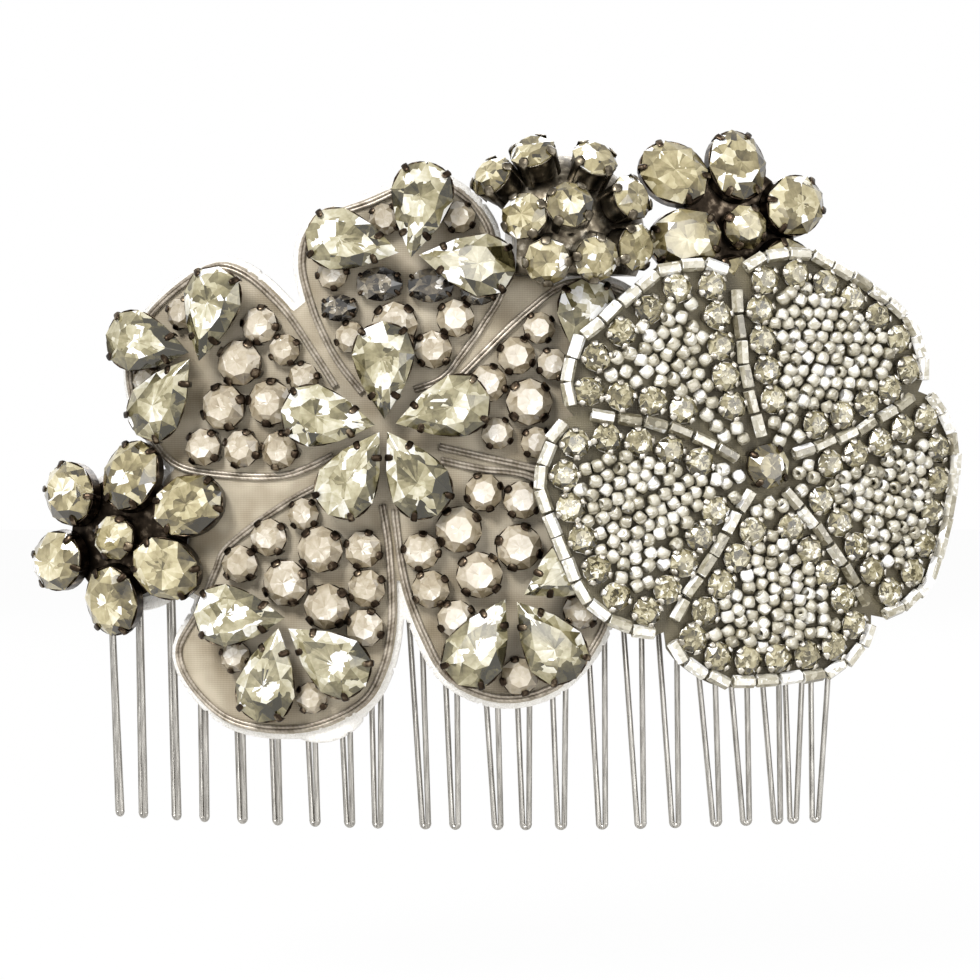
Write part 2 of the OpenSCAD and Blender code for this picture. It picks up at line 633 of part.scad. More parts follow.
// Loops of thread that start at the felt, pass behind the spine between two teeth and return
module sewing_loops() {
    r = spine_d / 2 + thread_d / 2 + wrap_gap;
    step = 2 * tooth_pitch;
    first = -(loop_count - 1) / 2 * step + tooth_pitch / 2 * (tooth_count % 2);
    joint = thread_d * 1.04;
    color(thread_white)
        for (j = [0 : loop_count - 1])
            translate([0, spine_r, 0])
                rotate([0, 0, (first + j * step) / spine_r * 180 / PI])
                    translate([0, -spine_r, 0])
                        rotate([90, 0, 0])
                            rotate([0, 0, 90])
                                mirror([0, 0, 1])
                                    thread_loop(r, joint);
}

// One loop: a half ring with two straight ends
module thread_loop(r, joint) {
    half_ring(r, thread_d);
    for (s = [-1, 1]) {
        rod([s * r, 0, 0], [s * r, 0, felt_t - spine_in], thread_d);
        translate([s * r, 0, 0])
            sphere(d = joint, $fn = 24);
    }
}

module felt_backing() {
    petals = [for (q = petal_lines) [for (p = grown(smooth(q), felt_margin)) p + [flower_u, flower_v]]];
    rounds = [for (p = felt_rounds) disc(p[0], p[1], p[2])];
    color(felt_white)
        sheet(concat(petals, rounds), -felt_t, felt_t);
}

module satin_ground() {
    petals = [for (q = petal_lines) [for (p = grown(smooth(q), satin_margin)) p + [flower_u, flower_v]]];
    color(satin_taupe)
        difference() {
            sheet(concat(petals, [for (p = satin_rounds) disc(p[0], p[1], p[2] - satin_back)]), 0, satin_t);
            on_face(left_posy[0], left_posy[1], -1)
                cylinder(r = posy_plate_r + seat_gap, h = 3);
            on_face(cluster_at[0], cluster_at[1], -1)
                intersection() {
                    cylinder(r = cluster_rim_r + seat_gap, h = 3);
                    cluster_square(seat_gap, 3);
                }
        }
}

module upper_left_cord() { petal_cord(upper_left_line); }
module top_cord() { petal_cord(top_line); }
module right_cord() { petal_cord(right_line); }
module lower_right_cord() { petal_cord(lower_right_line); }
module lower_left_cord() { petal_cord(lower_left_line); }

module upper_left_round_stones() { round_stones(upper_left_rounds); }
module upper_left_round_cups() { round_cups(upper_left_rounds); }
module upper_left_pear_stones() { pear_stones(upper_left_pears); }
module upper_left_pear_cups() { pear_cups(upper_left_pears); }
module top_round_stones() { round_stones(top_rounds); }
module top_round_cups() { round_cups(top_rounds); }
module top_pear_stones() { pear_stones(top_pears); }
module top_pear_cups() { pear_cups(top_pears); }
module right_round_stones() { round_stones(right_rounds); }
module right_round_cups() { round_cups(right_rounds); }
module right_pear_stones() { pear_stones(right_pears); }
module right_pear_cups() { pear_cups(right_pears); }
module lower_right_round_stones() { round_stones(lower_right_rounds); }
module lower_right_round_cups() { round_cups(lower_right_rounds); }
module lower_right_pear_stones() { pear_stones(lower_right_pears); }
module lower_right_pear_cups() { pear_cups(lower_right_pears); }
module lower_left_round_stones() { round_stones(lower_left_rounds); }
module lower_left_round_cups() { round_cups(lower_left_rounds); }
module lower_left_pear_stones() { pear_stones(lower_left_pears); }
module lower_left_pear_cups() { pear_cups(lower_left_pears); }
module centre_pear_stones() { pear_stones(centre_pear_places); }
module centre_pear_cups() { pear_cups(centre_pear_places); }

module dark_stones() {
    color(smoke)
        for (p = dark_places)
            on_flower(p, satin_t)
                fancy_stone(oval_line(dark_l[p[2]], dark_w[p[2]]), cup_floor, dark_cup_h, dark_crown_h);
}

module dark_stone_cups() {
    color(oxide)
        for (p = dark_places)
            on_flower(p, satin_t)
                fancy_cup(oval_line(dark_l[p[2]], dark_w[p[2]]), dark_w[p[2]], 0, dark_cup_h, dark_crown_h,
                    oval_claws);
}

module beaded_pad() {
    color(felt_white)
        sheet([disc(beaded_u + pad_shift, beaded_v, pad_r)], 0, pad_t);
}

module beaded_cloth() {
    color(satin_taupe)
        sheet([[for (p = cloth_line) p + [beaded_u, beaded_v]]], pad_t, cloth_t);
}

// Bead lying along the first axis, with its bore
module bugle() {
    rotate([0, 90, 0])
        difference() {
            cylinder(d = bugle_d, h = bugle_l, center = true, $fn = 24);
            cylinder(d = bead_bore, h = bugle_l + 1, center = true, $fn = 24);
        }
}

module edge_bugles() {
    color(bead_clear)
        for (p = edge_places)
            on_beaded(p[0], cloth_top + bugle_d / 2)
                rotate([0, 0, p[1]])
                    bugle();
}

module divider_bugles() {
    color(bead_clear)
        for (p = divider_places)
            on_beaded(p[0], cloth_top + bugle_d / 2)
                rotate([0, 0, p[1]])
                    bugle();
}

module chain_stones() {
    color(champagne)
        for (p = chain_places)
            on_beaded(p, cloth_top)
                round_stone(chain_d, round_rim(chain_d));
}

// Straight cup of a chain stone with four upright claws
module chain_cup() {
    rim = round_rim(chain_d);
    difference() {
        union() {
            cylinder(r = chain_cup_r, h = rim + lip);
            for (a = [45 : 90 : 315])
                rotate([0, 0, a])
                    translate([chain_cup_r + claw_out - chain_claw_d / 2, 0, 0])
                        cylinder(d = chain_claw_d, h = rim + claw_reach * crown_part * chain_d, $fn = 24);
        }
        round_pocket(chain_d, rim);
    }
}

module chain_cups() {
    color(oxide)
        for (p = chain_places)
            on_beaded(p, cloth_top)
                chain_cup();
}

// Rounded bead with its bore along the first axis
module seed() {
    round_r = seed_l / 2;
    inner_r = seed_d / 2 - round_r;
    rotate([0, 90, 0])
        rotate_extrude($fn = 24)
            intersection() {
                translate([inner_r, 0])
                    circle(r = round_r, $fn = 24);
                translate([bead_bore / 2, -seed_l])
                    square([seed_d, 2 * seed_l]);
            }
}

module seed_beads() {
    color(bead_clear)
        for (k = [0 : lobe_count - 1], p = seed_rows(k))
            on_beaded(p, cloth_top + seed_d / 2)
                rotate([0, 0, lobe_turn(k, 0.5)])
                    seed();
}

module beaded_centre_stone() {
    color(champagne)
        on_beaded([0, 0], cloth_top)
            round_stone(beaded_centre_d, round_rim(beaded_centre_d));
}

module beaded_centre_cup() {
    color(oxide)
        on_beaded([0, 0], cloth_top)
            round_cup(beaded_centre_d, round_rim(beaded_centre_d), round_foot);
}

posy_top = posy_plate_t + posy_dome_r - sqrt(pow(posy_dome_r, 2) - pow(posy_plate_r, 2));
posy_ball = posy_top - posy_dome_r;

// Stands a child on a posy's domed plate
module on_posy(turned, out) {
    translate([0, 0, posy_ball])
        rotate([0, 0, turned])
            rotate([0, asin(out / (posy_dome_r + oval_cup_h)), 0])
                translate([0, 0, posy_dome_r])
                    children();
}

module posy_plate(at) {
    color(oxide)
        on_face(at[0], at[1], 0)
            intersection() {
                cylinder(r = posy_plate_r, h = posy_top + 1);
                translate([0, 0, posy_ball])
                    sphere(r = posy_dome_r, $fn = 96);
            }
}

module posy_ovals(at, places) {
    color(champagne)
        on_face(at[0], at[1], 0)
            for (p = places)
                on_posy(p[0], p[1])
                    fancy_stone(oval_line(oval_l, oval_w), cup_floor, oval_cup_h, oval_crown_h);
}

module posy_oval_cups(at, places) {
    color(oxide)
        on_face(at[0], at[1], 0)
            for (p = places)
                on_posy(p[0], p[1])
                    fancy_cup(oval_line(oval_l, oval_w), oval_w, 0, oval_cup_h, oval_crown_h, oval_claws);
}

module posy_centre(at) {
    color(champagne)
        on_face(at[0], at[1], 0)
            on_posy(0, 0)
                round_stone(posy_centre_d, oval_cup_h);
}

module posy_centre_cup(at) {
    color(oxide)
        on_face(at[0], at[1], 0)
            on_posy(0, 0)
                round_cup(posy_centre_d, oval_cup_h, round_foot);
}

module left_posy_plate() { posy_plate(left_posy); }
module left_posy_ovals() { posy_ovals(left_posy, left_ovals); }
module left_posy_oval_cups() { posy_oval_cups(left_posy, left_ovals); }
module left_posy_centre() { posy_centre(left_posy); }
module left_posy_centre_cup() { posy_centre_cup(left_posy); }
module right_posy_plate() { posy_plate(right_posy); }
module right_posy_ovals() { posy_ovals(right_posy, right_ovals); }
module right_posy_oval_cups() { posy_oval_cups(right_posy, right_ovals); }
module right_posy_centre() { posy_centre(right_posy); }
module right_posy_centre_cup() { posy_centre_cup(right_posy); }

// Stands a child on the cluster's domed plate
module on_cluster(p) {
    on_face(cluster_at[0], cluster_at[1], 0)
        translate([0, 0, cluster_dome_h - cluster_dome_r])
            rotate([0, 0, p[1]])
                rotate([0, p[0], 0])
                    translate([0, 0, cluster_dome_r])
                        children();
}

// Corner of the cluster's plate, with two straight sides
module cluster_square(more, h) {
    translate([-cluster_side - more, -cluster_cut - more, 0])
        cube([cluster_side + cluster_dome_r + more, cluster_cut + cluster_dome_r + more, h]);
}

module cluster_plate() {
    color(oxide)
        on_face(cluster_at[0], cluster_at[1], 0)
            intersection() {
                translate([0, 0, cluster_dome_h - cluster_dome_r])
                    sphere(r = cluster_dome_r, $fn = 96);
                cluster_square(0, cluster_dome_h + 1);
            }
}

module cluster_stones() {
    color(ivory)
        for (p = cluster_places)
            on_cluster(p)
                round_stone(cluster_d, cluster_cup_h);
}

module cluster_cups() {
    color(oxide)
        for (p = cluster_places)
            on_cluster(p)
                round_cup(cluster_d, cluster_cup_h, cluster_foot);
}

comb_spine();
comb_teeth();
sewing_loops();
felt_backing();
satin_ground();
upper_left_cord();
top_cord();
right_cord();
lower_right_cord();
lower_left_cord();
upper_left_round_stones();
upper_left_round_cups();
upper_left_pear_stones();
upper_left_pear_cups();
top_round_stones();
top_round_cups();
top_pear_stones();
top_pear_cups();
right_round_stones();
right_round_cups();
right_pear_stones();
right_pear_cups();
lower_right_round_stones();
lower_right_round_cups();
lower_right_pear_stones();
lower_right_pear_cups();
lower_left_round_stones();
lower_left_round_cups();
lower_left_pear_stones();
lower_left_pear_cups();
centre_pear_stones();
centre_pear_cups();
dark_stones();
dark_stone_cups();
beaded_pad();
beaded_cloth();
edge_bugles();
divider_bugles();
chain_stones();
chain_cups();
seed_beads();
beaded_centre_stone();
beaded_centre_cup();
left_posy_plate();
left_posy_ovals();
left_posy_oval_cups();
left_posy_centre();
left_posy_centre_cup();
right_posy_plate();
right_posy_ovals();
right_posy_oval_cups();
right_posy_centre();
right_posy_centre_cup();
cluster_plate();
cluster_stones();
cluster_cups();
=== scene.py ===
import math

import bpy
import numpy as np
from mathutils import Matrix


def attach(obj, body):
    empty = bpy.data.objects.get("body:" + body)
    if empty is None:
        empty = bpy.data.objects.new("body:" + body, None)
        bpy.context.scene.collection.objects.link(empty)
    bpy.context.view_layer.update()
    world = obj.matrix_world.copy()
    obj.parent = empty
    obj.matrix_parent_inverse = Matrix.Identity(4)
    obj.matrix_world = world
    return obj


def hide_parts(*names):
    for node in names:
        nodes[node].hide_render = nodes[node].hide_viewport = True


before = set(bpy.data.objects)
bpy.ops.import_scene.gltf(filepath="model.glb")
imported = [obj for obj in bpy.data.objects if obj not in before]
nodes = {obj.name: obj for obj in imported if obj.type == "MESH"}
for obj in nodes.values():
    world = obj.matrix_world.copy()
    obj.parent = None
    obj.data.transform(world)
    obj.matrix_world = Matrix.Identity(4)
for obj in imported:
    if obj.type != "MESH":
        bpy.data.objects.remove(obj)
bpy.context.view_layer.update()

MM = 0.001
PER_METRE = 1000.0

# Sizes and places in millimetres and directions in degrees, the same as the solids have
CURVE_R = 100.0
SPINE_R = 96.87
SPINE_ROD_R = 1.2
THREAD_D = 0.5
THREAD_GAP = 0.03
LOOP_COUNT = 7
LOOP_PITCH = 8.8
FELT_T = 1.2
SATIN_T = 0.4
FELT_MARGIN = 1.3
SATIN_MARGIN = 0.6
CORD_D = 0.9
FLOWER = np.array([-9.2, 11.3])
BEADED = np.array([34.1, 6.4])
PAD_T = 5.7
PAD_R = 13.5
PAD_SHIFT = 6.0
CLOTH_TOP = 6.2
NOTCH_R = 22.8
LOBE_R = 27.2
LOBE_DENT = 1.1
LOBES = 5
DIVIDERS = np.array([24.0, 99.0, 165.0, 239.0, 308.0])
SPANS = (np.roll(DIVIDERS, -1) - DIVIDERS) % 360
BOWS = np.array([-0.8, 0.7, -1.4, 0.0, 0.6])
DIVIDER_FROM = 3.4
PEAR_SEAT = 2.55
PEAR_RIM = 3.65
OVAL_CUP_H = 1.5
DARK_CUP_H = 1.4
CHAIN_D = 2.9
CHAIN_PITCH = 3.6
BUGLE_D = 1.4
BUGLE_PITCH = 2.66
BEAD_GAP = 0.15
BEAD_BORE = 0.45
SEED_D = 1.35
SEED_PITCH = 1.3
SEED_ROW = 1.42
BEADED_CENTRE_D = 4.8
CUP_FLOOR = 0.3
CUP_WALL = 0.25
GIRDLE = 0.2
CHAIN_CUP_R = CHAIN_D / 2 + CUP_WALL
CLUSTER_AT = np.array([11.8, 33.6])
CLUSTER_DOME_R = 10.8
CLUSTER_DOME_H = 6.3
CLUSTER_CUP_H = 3.2
CLUSTER_SIDE = 6.2
CLUSTER_CUT = 4.5
SEAT_GAP = 0.05
CLUSTER_RIM_R = math.sqrt(2 * CLUSTER_DOME_R * CLUSTER_DOME_H - CLUSTER_DOME_H ** 2)
LEFT_POSY = np.array([-41.6, -2.2])
RIGHT_POSY = np.array([32.5, 34.9])
POSY_DOME_R = 32.0
POSY_PLATE_R = 7.4
POSY_RIM_H = 2.6
POSY_TOP = POSY_RIM_H + POSY_DOME_R - math.sqrt(POSY_DOME_R ** 2 - POSY_PLATE_R ** 2)

# Shares of a lobe: half the dent's width, and where the rows of chain stones and bugles along its edge start
DENT_HALF = 0.22
CHAIN_START = 0.05
BUGLE_START = 0.035

# Sizes of stones and beads as they show, a little over the solids' so that they hide their cups' rims
ROUND_D = np.array([3.85, 4.58, 5.6])
ROUND_OVER = 0.5
PEAR = (11.5, 7.5)
OVAL = (8.8, 7.4)
DARK_L = np.array([5.6, 4.4])
DARK_W = np.array([4.1, 3.3])
CHAIN_SHOWN = CHAIN_D + 0.65
BEADED_CENTRE_SHOWN = BEADED_CENTRE_D + 0.6
CLUSTER_D = 5.6
POSY_CENTRE_D = 5.5
BUGLE_L = 2.72
BUGLE_SHOWN = 1.55
SEED_L = 1.46
SEED_SHOWN = 1.7

# Distances that a seed bead keeps from other seed beads, chain stones, dividing lines and the flower's middle
SEED_REACH = 1.66
SEED_FROM_CHAIN = CHAIN_CUP_R + 0.8
SEED_FROM_DIVIDER = 1.5
SEED_FROM_MIDDLE = 3.4

# Cut of the stones: the table's share of the width, how pointed a pear is, and the claws' places in degrees
TABLE = 0.58
OVAL_TABLE = 0.64
PEAR_POINT = 1.2
PEAR_CLAWS = [56, 146, 214, 304]
OVAL_CLAWS = [34, 146, 214, 326]
ROUND_CLAWS = [45, 135, 225, 315]

# Rounds of felt that join the petals and back the other pieces, as (u, v, radius)
FELT_ROUNDS = [(-9.2, 11.3, 18.5), (36.1, 6.4, 18.8), (-41.6, -2.2, 9.0), (-30.4, -0.7, 9.5),
    (6.0, 25.5, 5.0), (-17.6, -20.1, 6.6), (32.5, 30.9, 8.5), (11.8, 33.6, 7.0)]
SATIN_ROUNDS = [0, 3, 4]
SHEET_STEP = 0.45

# Lines of the petals' cords from the flower's middle outwards and back
PETAL_LINES = {
    "upper_left": [[-6.2, 4.6], [-8.8, 8.6], [-12.8, 14.2], [-18, 18.5], [-22.5, 18.8], [-29, 14.5],
        [-32.5, 9.5], [-32.5, 4], [-29.8, -1.2], [-26, -4.8], [-19, -6], [-12, -5.9], [-6.5, -3.6]],
    "top": [[3.2, 4.2], [6.4, 5.4], [8.6, 8], [11.4, 12], [13.6, 16.2], [12.3, 19.8], [11.9, 23.5],
        [9, 27.2], [4.5, 29], [-2, 26.5], [-8.5, 24], [-10.3, 20], [-9.2, 14.5], [-6.4, 8.4], [-3, 3.9]],
    "right": [[6.2, -2.6], [13.7, -4.3], [21, -5.6], [27, -4.5], [31.5, 1], [33.5, 8], [30, 14.5],
        [25, 16.9], [20.5, 16.4], [17, 13.8], [14.3, 11.4], [10.9, 8], [8.2, 5.4], [5.2, 3.7]],
    "lower_right": [[0.9, -10], [1.2, -13], [2.2, -19], [4.4, -25], [7.5, -30], [13.5, -32.5],
        [20, -31], [25, -25.5], [26.5, -19], [24.5, -12], [17.5, -6.4], [11, -5.2], [6.4, -4.2]],
    "lower_left": [[-7.5, -6.8], [-13, -9.8], [-19.5, -14.5], [-21.2, -17.5], [-23.5, -22.5],
        [-26, -27], [-24.5, -31], [-20, -35], [-14.5, -36.3], [-8.5, -35.8], [-3, -33], [-0.6, -29],
        [0.4, -24.5], [0.5, -20], [0.1, -14], [-0.6, -9.5]],
}
# Round stones of each petal as [u, v, size], and pear stones as [u, v, direction of the round end]
ROUNDS = {
    "upper_left": [[-25.3, 13.6, 0], [-29.9, 5.6, 0], [-15.2, 12, 1], [-12.2, 9, 0], [-17.7, 7.5, 2],
        [-19.7, 2.2, 2], [-13.9, 2.7, 2], [-9.9, 5.6, 0], [-22.4, -2.6, 1], [-17.5, -2.8, 1], [-12.8, -3, 1]],
    "top": [[-0.2, 24.4, 0], [8.6, 24.6, 0], [-6.4, 18, 0], [1, 11.8, 2], [8.1, 12.6, 1], [-4.2, 10.4, 0],
        [5.5, 8.9, 1]],
    "right": [[15.2, 8.2, 1], [11.9, 4.9, 1], [16.7, 2.7, 2], [13, -1, 0], [17.6, -2.1, 0], [17.9, 11.5, 0],
        [19.5, 7.2, 0]],
    "lower_right": [[11.4, -8, 1], [15.9, -8.9, 1], [8.5, -12.4, 2], [15.5, -14.5, 2], [4.1, -15, 1],
        [10.9, -17.8, 2], [5.2, -19.5, 1], [8.2, -23, 1], [15.6, -29.8, 1], [22.9, -22, 1]],
    "lower_left": [[-9.9, -10.6, 0], [-14.1, -13.4, 1], [-17.7, -16.6, 1], [-7.8, -14.8, 2], [-12, -18.8, 2],
        [-7, -21.6, 2], [-2.7, -14.8, 1], [-2.3, -19.4, 1], [-2.5, -24.1, 1], [-18.3, -27.7, 0],
        [-8.9, -32.5, 0]],
}
PEARS = {
    "upper_left": [[-20.6, 13.3, 77], [-28.5, 9.9, 168], [-26.4, 3.4, 232]],
    "top": [[-3.6, 21.5, 167], [4.1, 25.3, 80], [9.5, 19, -9]],
    "right": [[23.4, 11.6, 95], [29.6, 6.2, 10], [25.4, -0.6, -75]],
    "lower_right": [[11.1, -25.6, 241], [18.5, -25.4, -52], [20.7, -17.2, 30]],
    "lower_left": [[-16.9, -22.7, 178], [-13.4, -29.7, 257], [-6.5, -27.5, -36]],
    "centre": [[0, 6.4, 91], [-6.4, 0.8, 171], [-3.4, -5.8, 238], [3.3, -5.8, 301], [6.7, 1.7, 16]],
}
DARKS = np.array([[-5.6, 13.9, 1], [-0.8, 16.7, 0], [5.2, 16.5, 0], [10.8, 15.8, 1]])
LEFT_OVALS = np.array([[143, 9], [77, 7.8], [23, 10.2], [-29, 7.6], [-97, 7.8], [-162, 9.5]])
RIGHT_OVALS = np.array([[143, 10.7], [95, 7.6], [23, 7.6], [192, 7.6], [-39, 8.1], [-100, 7.9]])
CLUSTER = np.array([[55, 143], [50, 114], [42, 72], [26, 163], [13, 101], [36.5, 31], [20, 228], [17, 309],
    [34, -12]])


# Materials


def linear(code):
    """Linear colour of an sRGB hex value."""
    c = np.array([int(code[i:i + 2], 16) for i in (1, 3, 5)]) / 255
    c = np.where(c <= 0.04045, c / 12.92, ((c + 0.055) / 1.055) ** 2.4)
    return (*c.tolist(), 1.0)


def add(tree, kind, links=None, out=0, stops=(), **settings):
    """Adds a node and returns one of its outputs: settings are its properties, links its inputs' values or
    the sockets that feed them, and stops the colours of a ramp as (place, hex)."""
    made = tree.nodes.new("ShaderNode" + kind)
    for key, value in settings.items():
        setattr(made, key, value)
    for key, value in (links or {}).items():
        if isinstance(value, bpy.types.NodeSocket):
            tree.links.new(value, made.inputs[key])
        else:
            made.inputs[key].default_value = value
    band = made.color_ramp.elements if stops else ()
    while len(band) < len(stops):
        band.new(0.5)
    for element, (place, code) in zip(band, stops):
        element.position = place
        element.color = linear(code)
    return made.outputs[out]


def surface(name, **constants):
    """New material with one principled shader whose constant sockets are set here."""
    made = bpy.data.materials.new(name)
    made.use_nodes = True
    tree = made.node_tree
    shader = tree.nodes["Principled BSDF"]
    for key, value in constants.items():
        shader.inputs[key.replace("_", " ")].default_value = value
    return made, tree, shader


def feed(tree, shader, **sockets):
    """Links sockets to a shader's inputs."""
    for key, value in sockets.items():
        tree.links.new(value, shader.inputs[key.replace("_", " ")])


def crystal(name, stops, shard=0.5, size=1.0, flash=0.35, coat=0.6):
    """Foil-backed cut glass with its reflections painted into the colour: every facet's tone stands for the
    part of the room it would send back, so a facet's tone picks its colour. Inside it lie painted reflections
    of the facets behind as slivers, of about the size in millimetres, each brighter or darker by a part of
    shard and a few of them brighter still by flash as painted glints, with faint streaks."""
    made, tree, shader = surface(name, Roughness=0.05, IOR=1.58, Coat_Weight=coat)
    tone = add(tree, "Attribute", out="Fac", attribute_name="tone")
    place = add(tree, "TexCoord", out="Object")
    # the tone sets the painted reflected slivers off from facet to facet, by up to 3 mm along an axis
    jump = add(tree, "VectorMath", {0: (0.003, -0.0025, 0.002), "Scale": tone}, operation="SCALE")
    moved = add(tree, "VectorMath", {0: place, 1: jump}, operation="ADD")
    cells = add(tree, "TexVoronoi", {"Vector": moved, "Scale": PER_METRE / size}, "Color",
        distance="CHEBYCHEV")
    sliver = add(tree, "SeparateColor", {0: cells})
    # streaks about 0.6 mm wide
    streak = add(tree, "TexNoise", {"Vector": place, "Scale": PER_METRE / 0.625, "Detail": 2.0})
    grain = 0.3
    middle = -0.5 * (grain + shard)
    soft = add(tree, "Math", {0: streak, 1: grain, 2: middle}, operation="MULTIPLY_ADD")
    sharp = add(tree, "Math", {0: sliver, 1: shard, 2: soft}, operation="MULTIPLY_ADD")
    # painted glints: the brightest fifth of the slivers flash
    painted_flash_glints = add(tree, "MapRange", {"Value": sliver, "From Min": 0.8, "To Max": flash})
    both = add(tree, "Math", {0: sharp, 1: painted_flash_glints}, operation="ADD")
    spread = add(tree, "Math", {0: both, 1: tone}, operation="ADD")
    feed(tree, shader, Base_Color=add(tree, "ValToRGB", {"Fac": spread}, stops=stops))
    return made


# Champagne glass of the ovals, the cluster and the large middle stones, in painted reflections: olive depths,
# straw, painted white glints
champagne = crystal("foiled_champagne_crystal", [(0.0, "#292312"), (0.2, "#5a5032"), (0.4, "#8a7f5a"),
    (0.58, "#aea37d"), (0.76, "#cbc2a1"), (0.9, "#ebe6d2"), (1.0, "#ffffff")], shard=0.55, size=1.9)
# The same glass over a paler foil, in the pears: more of its painted reflection white
pale_champagne = crystal("foiled_pale_crystal", [(0.0, "#282412"), (0.2, "#5b5438"), (0.4, "#8d8564"),
    (0.58, "#b4ad90"), (0.74, "#d3cfbd"), (0.88, "#f3f2ee"), (1.0, "#ffffff")], shard=0.46, size=1.9)
# Milky glass of the petals' round stones: warm ivory painted reflections with little contrast
ivory = crystal("foiled_ivory_crystal", [(0.0, "#4d4132"), (0.25, "#84775f"), (0.5, "#aca08a"),
    (0.75, "#c6bcaa"), (1.0, "#f4f1ea")], shard=0.22, size=1.3, flash=0.1, coat=0.5)
# Smoke-grey glass of the dark ovals: nearly black, with few pale painted reflecting facets
smoke = crystal("foiled_smoke_crystal", [(0.0, "#141312"), (0.3, "#383531"), (0.52, "#625a4c"),
    (0.75, "#938a78"), (0.97, "#f0eeea")], flash=0.1)
# Champagne glass of the small chain stones, with finer painted reflected slivers
chain_glass = crystal("foiled_small_crystal", [(0.0, "#2d2716"), (0.25, "#625a3f"), (0.5, "#968d6c"),
    (0.75, "#bfb799"), (0.97, "#f8f6ee")], shard=0.6, size=0.6, flash=0.2)
# Clear bead glass with a silvered bore: pale grey with small painted white glints
lined_glass = crystal("silver_lined_glass", [(0.0, "#665f4c"), (0.25, "#8f8873"), (0.5, "#b2ac99"),
    (0.75, "#d0ccbf"), (1.0, "#ffffff")], shard=0.34, size=0.6, flash=0.2)


def oxidised_brass(name, dark, mid, worn):
    """Brass plated dark and rubbed in patches: brown-black with paler, shinier patches."""
    made, tree, shader = surface(name, Metallic=1.0)
    place = add(tree, "TexCoord", out="Object")
    # patches about 1 mm across
    patch = add(tree, "TexNoise", {"Vector": place, "Scale": PER_METRE / 1.0, "Detail": 3.0})
    colour = add(tree, "ValToRGB", {"Fac": patch}, stops=[(0.3, dark), (0.55, mid), (0.78, worn)])
    dull = add(tree, "MapRange", {"Value": patch, "To Min": 0.42, "To Max": 0.2})
    feed(tree, shader, Base_Color=colour, Roughness=dull)
    return made


# Brown-black plating of the claws, a blacker one, a rubbed one and a silvered one
brown_plate = oxidised_brass("oxidised_brass", "#1d1711", "#3f342a", "#a09079")
# the darkest plating, for the posies' plates
dark_plate = oxidised_brass("darkest_brass", "#15110d", "#2d261f", "#75695a")
worn_plate = oxidised_brass("worn_brass", "#332d25", "#6a6254", "#c4bcab")
grey_plate = oxidised_brass("silvered_brass", "#7d776a", "#d2cdc2", "#ffffff")


def drawn_steel():
    """Drawn steel wire: grey, smooth, with fine draw marks along it that soften the gleam."""
    made, tree, shader = surface("drawn_steel_wire", Metallic=1.0)
    place = add(tree, "TexCoord", out="Object")
    # marks 0.15 mm wide and 6 mm long
    marks = add(tree, "Mapping", {"Vector": place, "Scale": (6600.0, 6600.0, 160.0)})
    scratch = add(tree, "TexNoise", {"Vector": marks, "Scale": 1.0, "Detail": 2.0})
    colour = add(tree, "ValToRGB", {"Fac": scratch}, stops=[(0.3, "#7c7974"), (0.7, "#c4c1bb")])
    dull = add(tree, "MapRange", {"Value": scratch, "To Min": 0.2, "To Max": 0.36})
    feed(tree, shader, Base_Color=colour, Roughness=dull)
    return made


def wool_felt():
    """Pressed felt: matt white with a mat of short fibres and slightly uneven whiteness."""
    made, tree, shader = surface("pressed_felt", Roughness=0.95, Sheen_Weight=0.3)
    place = add(tree, "TexCoord", out="Object")
    # fibres 0.25 mm wide, drawn coarser than real ones so that they show
    fibre = add(tree, "TexNoise", {"Vector": place, "Scale": PER_METRE / 0.25, "Detail": 4.0,
        "Distortion": 1.5})
    colour = add(tree, "ValToRGB", {"Fac": fibre}, stops=[(0.3, "#dcd8d0"), (0.62, "#f7f5f1")])
    bump = add(tree, "Bump", {"Height": fibre, "Strength": 0.6, "Distance": 0.2 * MM})
    feed(tree, shader, Base_Color=colour, Normal=bump)
    return made


def woven(name, pale, deep, relief, sheen):
    """Woven cloth: threads crossing at right angles on the piece's own flat map, with slow shading of the
    dye."""
    made, tree, shader = surface(name, Roughness=0.5, Sheen_Weight=sheen)
    flat = add(tree, "UVMap")
    # the map's unit is 1 mm: threads 0.2 mm apart one way and 0.25 mm the other
    threads = {"Vector": flat, "Distortion": 0.6, "Detail": 1.0}
    warp = add(tree, "TexWave", {**threads, "Scale": 1.6}, "Fac", bands_direction="X")
    weft = add(tree, "TexWave", {**threads, "Scale": 1.6 * 0.8}, "Fac", bands_direction="Y")
    cross = add(tree, "Math", {0: warp, 1: weft}, operation="ADD")
    # shading that changes over about 6 mm
    slow = add(tree, "TexNoise", {"Vector": flat, "Scale": 0.16, "Detail": 2.0})
    mixed = add(tree, "Math", {0: cross, 1: 0.07, 2: slow}, operation="MULTIPLY_ADD")
    colour = add(tree, "ValToRGB", {"Fac": mixed}, stops=[(0.34, deep), (0.72, pale)])
    bump = add(tree, "Bump", {"Height": cross, "Strength": relief, "Distance": 0.06 * MM})
    feed(tree, shader, Base_Color=colour, Normal=bump)
    return made


def purl(name, pale, deep, metal):
    """Wire or thread wound into a fine cord: a painted highlight on each coil, painted shade between coils, a
    little blotched.
    """
    made, tree, shader = surface(name, Metallic=metal, Roughness=0.3)
    # the coil value, high on each coil's crest and low in the grooves, sets the painted highlight and painted
    # shade
    depth = add(tree, "Attribute", out="Fac", attribute_name="coil")
    place = add(tree, "TexCoord", out="Object")
    # blotches about 1.4 mm across
    blotch = add(tree, "TexNoise", {"Vector": place, "Scale": 700.0, "Detail": 2.0})
    mixed = add(tree, "Math", {0: depth, 1: 0.16, 2: blotch}, operation="MULTIPLY_ADD")
    feed(tree, shader, Base_Color=add(tree, "ValToRGB", {"Fac": mixed}, stops=[(0.35, deep), (0.8, pale)]))
    return made


steel = drawn_steel()
felt = wool_felt()
